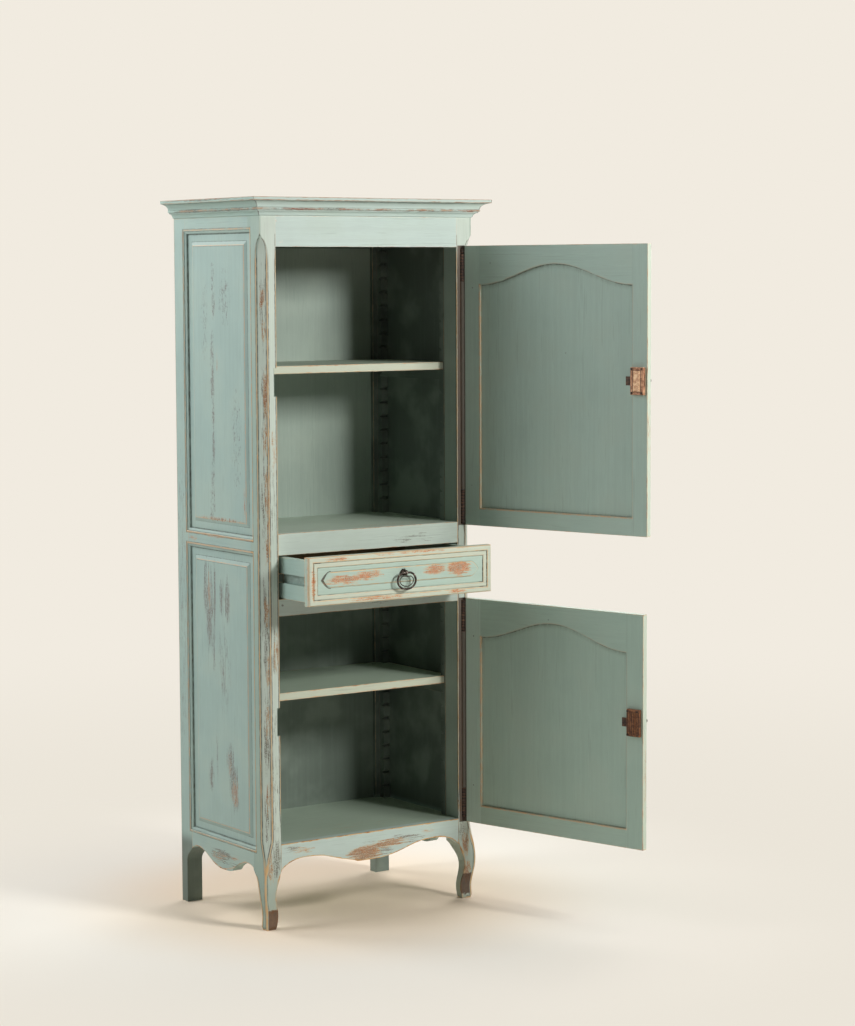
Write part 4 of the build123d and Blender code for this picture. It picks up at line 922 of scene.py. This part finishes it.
# a turned form about Z: (radius, height) points from foot to head, with a point at each end
def turned(profile, columns=32):
    radius, height = np.array(profile, float).T
    angle = np.arange(columns) * 2 * math.pi / columns
    rings = np.stack([radius[1:-1, None] * np.cos(angle), radius[1:-1, None] * np.sin(angle),
                      np.repeat(height[1:-1, None], columns, axis=1)], axis=2).reshape(-1, 3)
    foot, head, last = len(rings), len(rings) + 1, len(rings) - columns
    ahead = (np.arange(columns) + 1) % columns
    faces = gridFaces(len(radius) - 2, columns, around=True)
    faces += [(foot, int(ahead[i]), i) for i in range(columns)]
    faces += [(head, last + i, last + int(ahead[i])) for i in range(columns)]
    return np.vstack([rings, [(0, 0, height[0]), (0, 0, height[-1])]]), faces


# a ball: a turned half circle
def ball(radius, centre, rows=14, columns=20):
    turn = np.linspace(-math.pi / 2, math.pi / 2, rows)
    points, faces = turned(np.stack([radius * np.cos(turn), radius * np.sin(turn)], axis=1), columns)
    return points + centre, faces


# a round rod along a closed path in a plane across Y
def closedRod(path, radius, columns=16):
    ahead = np.roll(path, -1, axis=0) - np.roll(path, 1, axis=0)
    ahead /= np.linalg.norm(ahead, axis=1)[:, None]
    side = np.cross(ahead, (0.0, 1.0, 0.0))
    angle = np.arange(columns) * 2 * math.pi / columns
    points = (path[:, None] + radius * (np.cos(angle)[None, :, None] * side[:, None]
                                        + np.sin(angle)[None, :, None] * np.array((0.0, 1.0, 0.0))))
    faces = gridFaces(len(path), columns, around=True, closed=True)
    return points.reshape(-1, 3), [(a, d, c, b) for a, b, c, d in faces]


def joined(forms):
    points, faces, start = [], [], 0
    for form, sides in forms:
        points.append(form)
        faces += [tuple(int(corner) + start for corner in face) for face in sides]
        start += len(form)
    return np.vstack(points), faces


sharpAngle = math.radians(50.0)


def addPiece(name, form, body, replaced):
    points, faces = form
    mesh = bpy.data.meshes.new(name)
    mesh.from_pydata((points * mm).tolist(), [], faces)
    mesh.shade_smooth()
    mesh.set_sharp_from_angle(angle=sharpAngle)
    piece = bpy.data.objects.new(name, mesh)
    scene.collection.objects.link(piece)
    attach(piece, body)
    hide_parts(*replaced)
    nodes[name] = piece


# ---- drawer: a thumb lip, a groove, a cream band, a bead and a raised plaque with pointed round ends ----
drawer = {
    "half": 271.5, "low": 816.5, "high": 935.0, "face": -352.0, "back": -332.5,
    "lip": 13.5, "bead": 25.5, "rim": 5.0,
    "plaqueHalf": 209.0, "plaquePoint": 22.0, "plaqueTall": 18.5, "plaqueHeight": 877.95, "plaquePower": 1.8,
}


def smooth(value, start, end):
    share = np.clip((value - start) / (end - start), 0.0, 1.0)
    return share * share * (3.0 - 2.0 * share)


# how far a point lies inside the plaque; its ends narrow by a power of the way to the tip
def insidePlaque(x, z):
    power = drawer["plaquePower"]
    share = np.maximum(np.abs(x) - drawer["plaqueHalf"], 0.0) / drawer["plaquePoint"]
    tall = drawer["plaqueTall"] * (1.0 - share ** power)
    slope = drawer["plaqueTall"] * power * share ** (power - 1.0) / drawer["plaquePoint"]
    return (tall - np.abs(z - drawer["plaqueHeight"])) / np.sqrt(1.0 + slope ** 2)


# depth behind the lip: a rounded rim, two grooves with a step at each, and the plaque raised again
def drawerDepth(x, z):
    inset = np.minimum(drawer["half"] - np.abs(x), np.minimum(z - drawer["low"], drawer["high"] - z))
    rim = drawer["rim"]
    depth = rim - np.sqrt(np.maximum(rim ** 2 - np.maximum(rim - inset, 0.0) ** 2, 0.0))
    depth += 2.4 * np.exp(-((inset - drawer["lip"] - 1.0) / 1.2) ** 2) + 0.9 * smooth(inset, 14.0, 17.0)
    depth += 1.5 * np.exp(-((inset - drawer["bead"] - 0.8) / 1.0) ** 2) + 1.8 * smooth(inset, 24.5, 28.0)
    plaque = insidePlaque(x, z)
    depth -= 1.5 * smooth(plaque, -0.4, 2.2)
    depth += 0.8 * np.exp(-((plaque + 0.6) / 0.8) ** 2)
    return depth


# the field of depths, closed by its four edges and a flat back
def drawerBoard():
    end = np.linspace(200.0, drawer["half"], 104)
    x = np.concatenate([-end[::-1], np.linspace(-198.0, 198.0, 199), end])
    z = np.linspace(drawer["low"], drawer["high"], 161)
    gridX, gridZ = np.meshgrid(x, z)
    depth = drawer["face"] + drawerDepth(gridX, gridZ)
    points = np.stack([gridX, depth, gridZ], axis=2).reshape(-1, 3)
    rows, columns = gridX.shape
    faces = gridFaces(rows, columns)
    number = np.arange(rows * columns).reshape(rows, columns)
    loop = np.concatenate([number[0, :-1], number[:-1, -1], number[-1, :0:-1], number[:0:-1, 0]])
    behind = points[loop].copy()
    behind[:, 1] = drawer["back"]
    first = len(points) + np.arange(len(loop))
    after = np.roll(np.arange(len(loop)), -1)
    sides = np.stack([loop, first, first[after], loop[after]], axis=1).tolist()
    return np.vstack([points, behind]), faces + sides + [first[::-1].tolist()]


def drawerLines(w, x, y, z):
    low, high = drawer["low"], drawer["high"]
    inset = -w.use(frameLine, Across=x, Up=z, Centre=(0.0, (low + high) / 2, 0.0),
                   Half=(drawer["half"], (high - low) / 2, 0.0))["Outside"]
    facing = w.step(y, -342.0, -345.0)
    band = w.step(inset, drawer["bead"] + 1.5, drawer["bead"]) * facing
    # grooves are darker on the uprights than along the top and bottom: painted shade
    upright = w.step(abs(x), drawer["half"] - 40.0, drawer["half"] - 30.0)
    grooves = (w.most(w.line(inset, drawer["lip"] + 1.0, 1.5), w.line(inset, drawer["bead"] + 0.8, 1.3))
               * (0.5 + upright * 0.6))
    rub = w.most(w.line(inset, drawer["lip"] - 1.4, 1.3), w.line(inset, 1.0, 2.0) * 0.7,
                 w.line(inset, drawer["bead"] - 1.2, 1.3) * 0.5)
    share = w.most(abs(x) - drawer["plaqueHalf"], 0.0) / drawer["plaquePoint"]
    tall = (1.0 - share ** drawer["plaquePower"]) * drawer["plaqueTall"]
    plaque = tall - abs(z - drawer["plaqueHeight"])
    long = w.step(abs(x), 212.0, 206.0)
    # a dark line round the foot of the raised plaque: painted shade
    plaqueFootShade = w.line(plaque, -0.9, 1.1) * (long * 0.5 + 0.1)
    # a dark crescent at the plaque's left end only: painted shadow
    climb = abs(z - drawer["plaqueHeight"]) / drawer["plaqueTall"]
    reach = abs(plaque + 2.4) / w.most(7.0 - climb * 5.2, 1.0)
    leftEndShadow = w.step(reach, 1.0, 0.5) * w.step(x, -206.0, -211.0) * 3.0
    # a rubbed line inside the plaque's rim along its sides, and at its right end only a painted highlight
    loopLine = w.line(plaque, 0.7, 1.6) * w.most(w.step(x, 205.0, 210.0), long * 0.9)
    return {"Fade": band * 0.5, "Crease": w.most(grooves, plaqueFootShade, leftEndShadow) * facing,
            "Line": w.most(rub, loopLine) * facing}


addPiece("drawer_face", drawerBoard(), "drawer", ["drawer_front"])
paintPiece("drawer_face", grain="x", edgeWidth=2.2, lines=drawerLines, Paint=tint(176, 198, 186),
           Wood=finish["orangeWood"], Undercoat=tint(212, 178, 136),
           wear=((-168, -349, 876, 70, 8, 17, 1.15), (-100, -349, 882, 52, 8, 15, 0.95),
                 (100, -349, 884, 44, 8, 18, 1.15), (172, -349, 881, 46, 8, 21, 1.6),
                 (-190, -352, 927, 42, 8, 6, 0.95), (-258, -352, 868, 8, 8, 50, 1.0),
                 (-70, -352, 825, 100, 8, 7, 0.95), (165, -352, 826, 36, 8, 6, 1.1),
                 (40, -352, 931, 180, 8, 4, 0.7)))

# ---- the ring pull: beads on a rose, a thick oval ring and a thin one inside it ----
pull = {"x": 3.5, "eye": -366.0, "face": -352.0, "z": 883.0, "half": 26.8, "drop": 40.6, "straight": 7.5,
        "bead": 3.3, "beadRing": 6.2, "beadDepth": 4.4, "beadTurns": (18, 90, 162, 234, 306)}


# straight through the eye, round at the shoulders and half an ellipse below, drawn in by inset
def ringPath(inset, rise):
    shoulder = pull["half"] - pull["straight"]
    half, drop = pull["half"] - inset, pull["drop"] - shoulder - inset
    bend = shoulder - rise
    upper = np.linspace(math.pi / 2, 0.0, 24)
    straight = half - bend
    right = np.stack([straight + bend * np.cos(upper), bend * np.sin(upper)], axis=1)
    lower = np.linspace(0.0, -math.pi, 72)[1:-1]
    bottom = np.stack([half * np.cos(lower), drop * np.sin(lower)], axis=1)
    left = right[::-1] * (-1.0, 1.0)
    flat = np.vstack([right, bottom, left])
    return np.stack([pull["x"] + flat[:, 0], np.full(len(flat), pull["eye"]), pull["z"] - shoulder + flat[:, 1]],
                    axis=1)


# the rose is turned about Z and laid over to face the front, with five balls on a circle about it
def pullPost():
    face, ring = pull["face"], pull["beadRing"]
    points, faces = turned([(0, -4), (7.6, -4), (8.6, -1), (8.4, 1.2), (7.0, 2.4), (4.2, 3.0), (3.6, 4.5),
                            (3.4, 9.0), (4.4, 10.5), (4.9, 13.0), (4.6, 15.6), (3.2, 17.4), (0, 17.8)])
    layOver = np.array(((1, 0, 0), (0, 0, 1), (0, -1, 0)), float)
    rose = (points @ layOver + (pull["x"], face + 0.2, pull["z"]), faces)
    balls = [ball(pull["bead"], (pull["x"] + ring * math.cos(turn), face - pull["beadDepth"],
                                 pull["z"] + ring * math.sin(turn))) for turn in np.radians(pull["beadTurns"])]
    return joined([rose, *balls])


addPiece("pull_rose", pullPost(), "drawer", ["drawer_pull_post"])
addPiece("pull_hoop", joined([closedRod(ringPath(0.0, 0.0), 2.6), closedRod(ringPath(7.0, 9.0), 1.2)]),
         "pull_ring", ["drawer_pull_ring"])
for name in ("pull_rose", "pull_hoop"):
    metalPiece(name, *metals["pull"], rubbed=0.6)


# the runner's groove in the drawer's sides, darkened with dirt and painted shade
def sideGroove(w, x, y, z):
    return {"Crease": w.band(z, 860.5, 862.5, 884.5, 886.5) * 0.55}


paintPiece("drawer_sides", grain="y", fold=True, lines=sideGroove, edgeWidth=1.2, edgeWear=0.6)
for name in ("drawer_back", "drawer_bottom"):
    paintPiece(name, grain="x", bareSide=lambda w, x, y, z: 0.85)
print("drawer done")

# ---- floor and background ----
# the floor's browner tint near the cabinet is a painted shadow
backdrop = {"colour": tint(241, 235, 224), "floor": tint(243, 238, 230), "floorGlow": tint(235, 229, 217),
            "underneath": tint(241, 224, 204)}
# distances from the middle of the floor between which one tone of it passes into the next, and its half size
floorBands = {"warm": (300.0, 800.0), "lit": (420.0, 1500.0), "glow": (1200.0, 5000.0), "reach": 40000.0}


# the rays that see the plain background instead of the lit room
def seenRays(w):
    path = w.node("ShaderNodeLightPath").outputs
    return w.most(path["Is Camera Ray"], path["Is Glossy Ray"], path["Is Transmission Ray"])


def makeFloor():
    reach = floorBands["reach"] * mm
    mesh = bpy.data.meshes.new("floor")
    corners = [(-reach, -reach, 0), (reach, -reach, 0), (reach, reach, 0), (-reach, reach, 0)]
    mesh.from_pydata(corners, [], [(0, 1, 2, 3)])
    floor = bpy.data.objects.new("floor", mesh)
    scene.collection.objects.link(floor)
    material, w, shader = newMaterial("floorPaper")
    place = w.node("ShaderNodeTexCoord").outputs["Object"]
    away = w.vector("LENGTH", w.vector("MULTIPLY", place, (1.0, 1.0, 0.0))) / mm
    blend = w.step(away, *floorBands["lit"])
    speck = w.noise(w.vector("MULTIPLY", place, (1 / mm,) * 3), 4.0)
    # the floor round the cabinet takes a browner tint: painted shadow
    plain = w.mix(w.step(away, *floorBands["warm"]), backdrop["underneath"], backdrop["floor"])
    w.feed(shader.inputs["Base Color"], w.shade(plain, 0.985 + speck * 0.03))
    w.feed(shader.inputs["Roughness"], 0.85 + speck * 0.1)
    shader.inputs["Specular IOR Level"].default_value = 0.1
    glow = w.node("ShaderNodeEmission")
    w.feed(glow.inputs["Color"], w.mix(w.step(away, *floorBands["glow"]), backdrop["floorGlow"], backdrop["colour"]))
    paper = w.node("ShaderNodeMixShader")
    for socket, value in zip(paper.inputs, (blend * seenRays(w), shader.outputs[0], glow.outputs[0])):
        w.feed(socket, value)
    w.feed(material.node_tree.nodes["Material Output"].inputs["Surface"], paper.outputs[0])
    mesh.materials.append(material)


# dark for the light that falls on things, plain for what is seen behind them
def makeWorld():
    world = bpy.data.worlds.new("studio")
    world.use_nodes = True
    scene.world = world
    world.node_tree.nodes.clear()
    w = Wires(world.node_tree)
    plain = w.node("ShaderNodeBackground")
    plain.inputs["Color"].default_value = backdrop["colour"]
    w.feed(plain.inputs["Strength"], seenRays(w))
    w.feed(w.node("ShaderNodeOutputWorld").inputs["Surface"], plain.outputs[0])


# each lamp: azimuth from the front, height angle, distance from the axis at a height, size, watts, colour
lampAim = Vector((0.0, 0.0, 1.1))
lamps = {
    "key": (20.0, 18.0, 4.0, 1.3, 0.85, 124.0, (1.0, 0.985, 0.955)),
    "top": (45.0, 60.0, 4.0, 1.3, 1.0, 17.0, (1.0, 0.985, 0.96)),
    "leftHigh": (-105.0, 35.0, 2.8, 1.5, 1.2, 26.0, (0.95, 0.985, 1.0)),
    "leftLow": (-105.0, 5.0, 2.8, 1.5, 1.2, 21.0, (0.95, 0.985, 1.0)),
    "rearLeft": (-150.0, 25.0, 3.0, 1.5, 1.4, 40.0, (1.0, 0.99, 0.96)),
    "rearRight": (120.0, 25.0, 4.0, 0.9, 2.2, 70.0, (1.0, 0.985, 0.95)),
    "rear": (150.0, 25.0, 3.0, 1.5, 1.4, 20.0, (1.0, 0.985, 0.95)),
}


def makeLamps():
    for name, (azimuth, rise, distance, height, size, watts, colour) in lamps.items():
        turn, lift = math.radians(azimuth), math.radians(rise)
        way = Vector((math.sin(turn) * math.cos(lift), -math.cos(turn) * math.cos(lift), math.sin(lift)))
        light = bpy.data.lights.new(name, "AREA")
        light.shape = "SQUARE"
        light.size = size
        light.energy = watts
        light.color = colour
        lamp = bpy.data.objects.new(name, light)
        lamp.location = Vector((0.0, 0.0, height)) + way * distance
        lamp.rotation_euler = (lampAim - lamp.location).to_track_quat("-Z", "Y").to_euler()
        lamp.visible_camera = False
        scene.collection.objects.link(lamp)


makeFloor()
makeWorld()
makeLamps()

# ---- camera ----
view = {"place": (-3.669, -5.7475, 1.609), "yaw": -34.7654, "pitch": -5.0805, "roll": -0.2725, "lens": 93.655,
        "sensor": 36.0, "reach": 200.0}


def makeCamera():
    yaw, pitch, roll = (math.radians(view[key]) for key in ("yaw", "pitch", "roll"))
    forward = Vector((-math.sin(yaw) * math.cos(pitch), math.cos(yaw) * math.cos(pitch), math.sin(pitch)))
    right = Vector((math.cos(yaw), math.sin(yaw), 0.0))
    up = right.cross(forward)
    turnedRight = right * math.cos(roll) + up * math.sin(roll)
    turnedUp = up * math.cos(roll) - right * math.sin(roll)
    data = bpy.data.cameras.new("camera")
    data.sensor_fit = "VERTICAL"
    data.sensor_height = view["sensor"]
    data.lens = view["lens"]
    data.clip_end = view["reach"]
    camera = bpy.data.objects.new("camera", data)
    basis = Matrix((turnedRight, turnedUp, -forward)).transposed().to_4x4()
    camera.matrix_world = Matrix.Translation(view["place"]) @ basis
    scene.collection.objects.link(camera)
    scene.camera = camera


makeCamera()
scene.view_settings.view_transform = "Standard"
print("stage, lamps and camera placed")
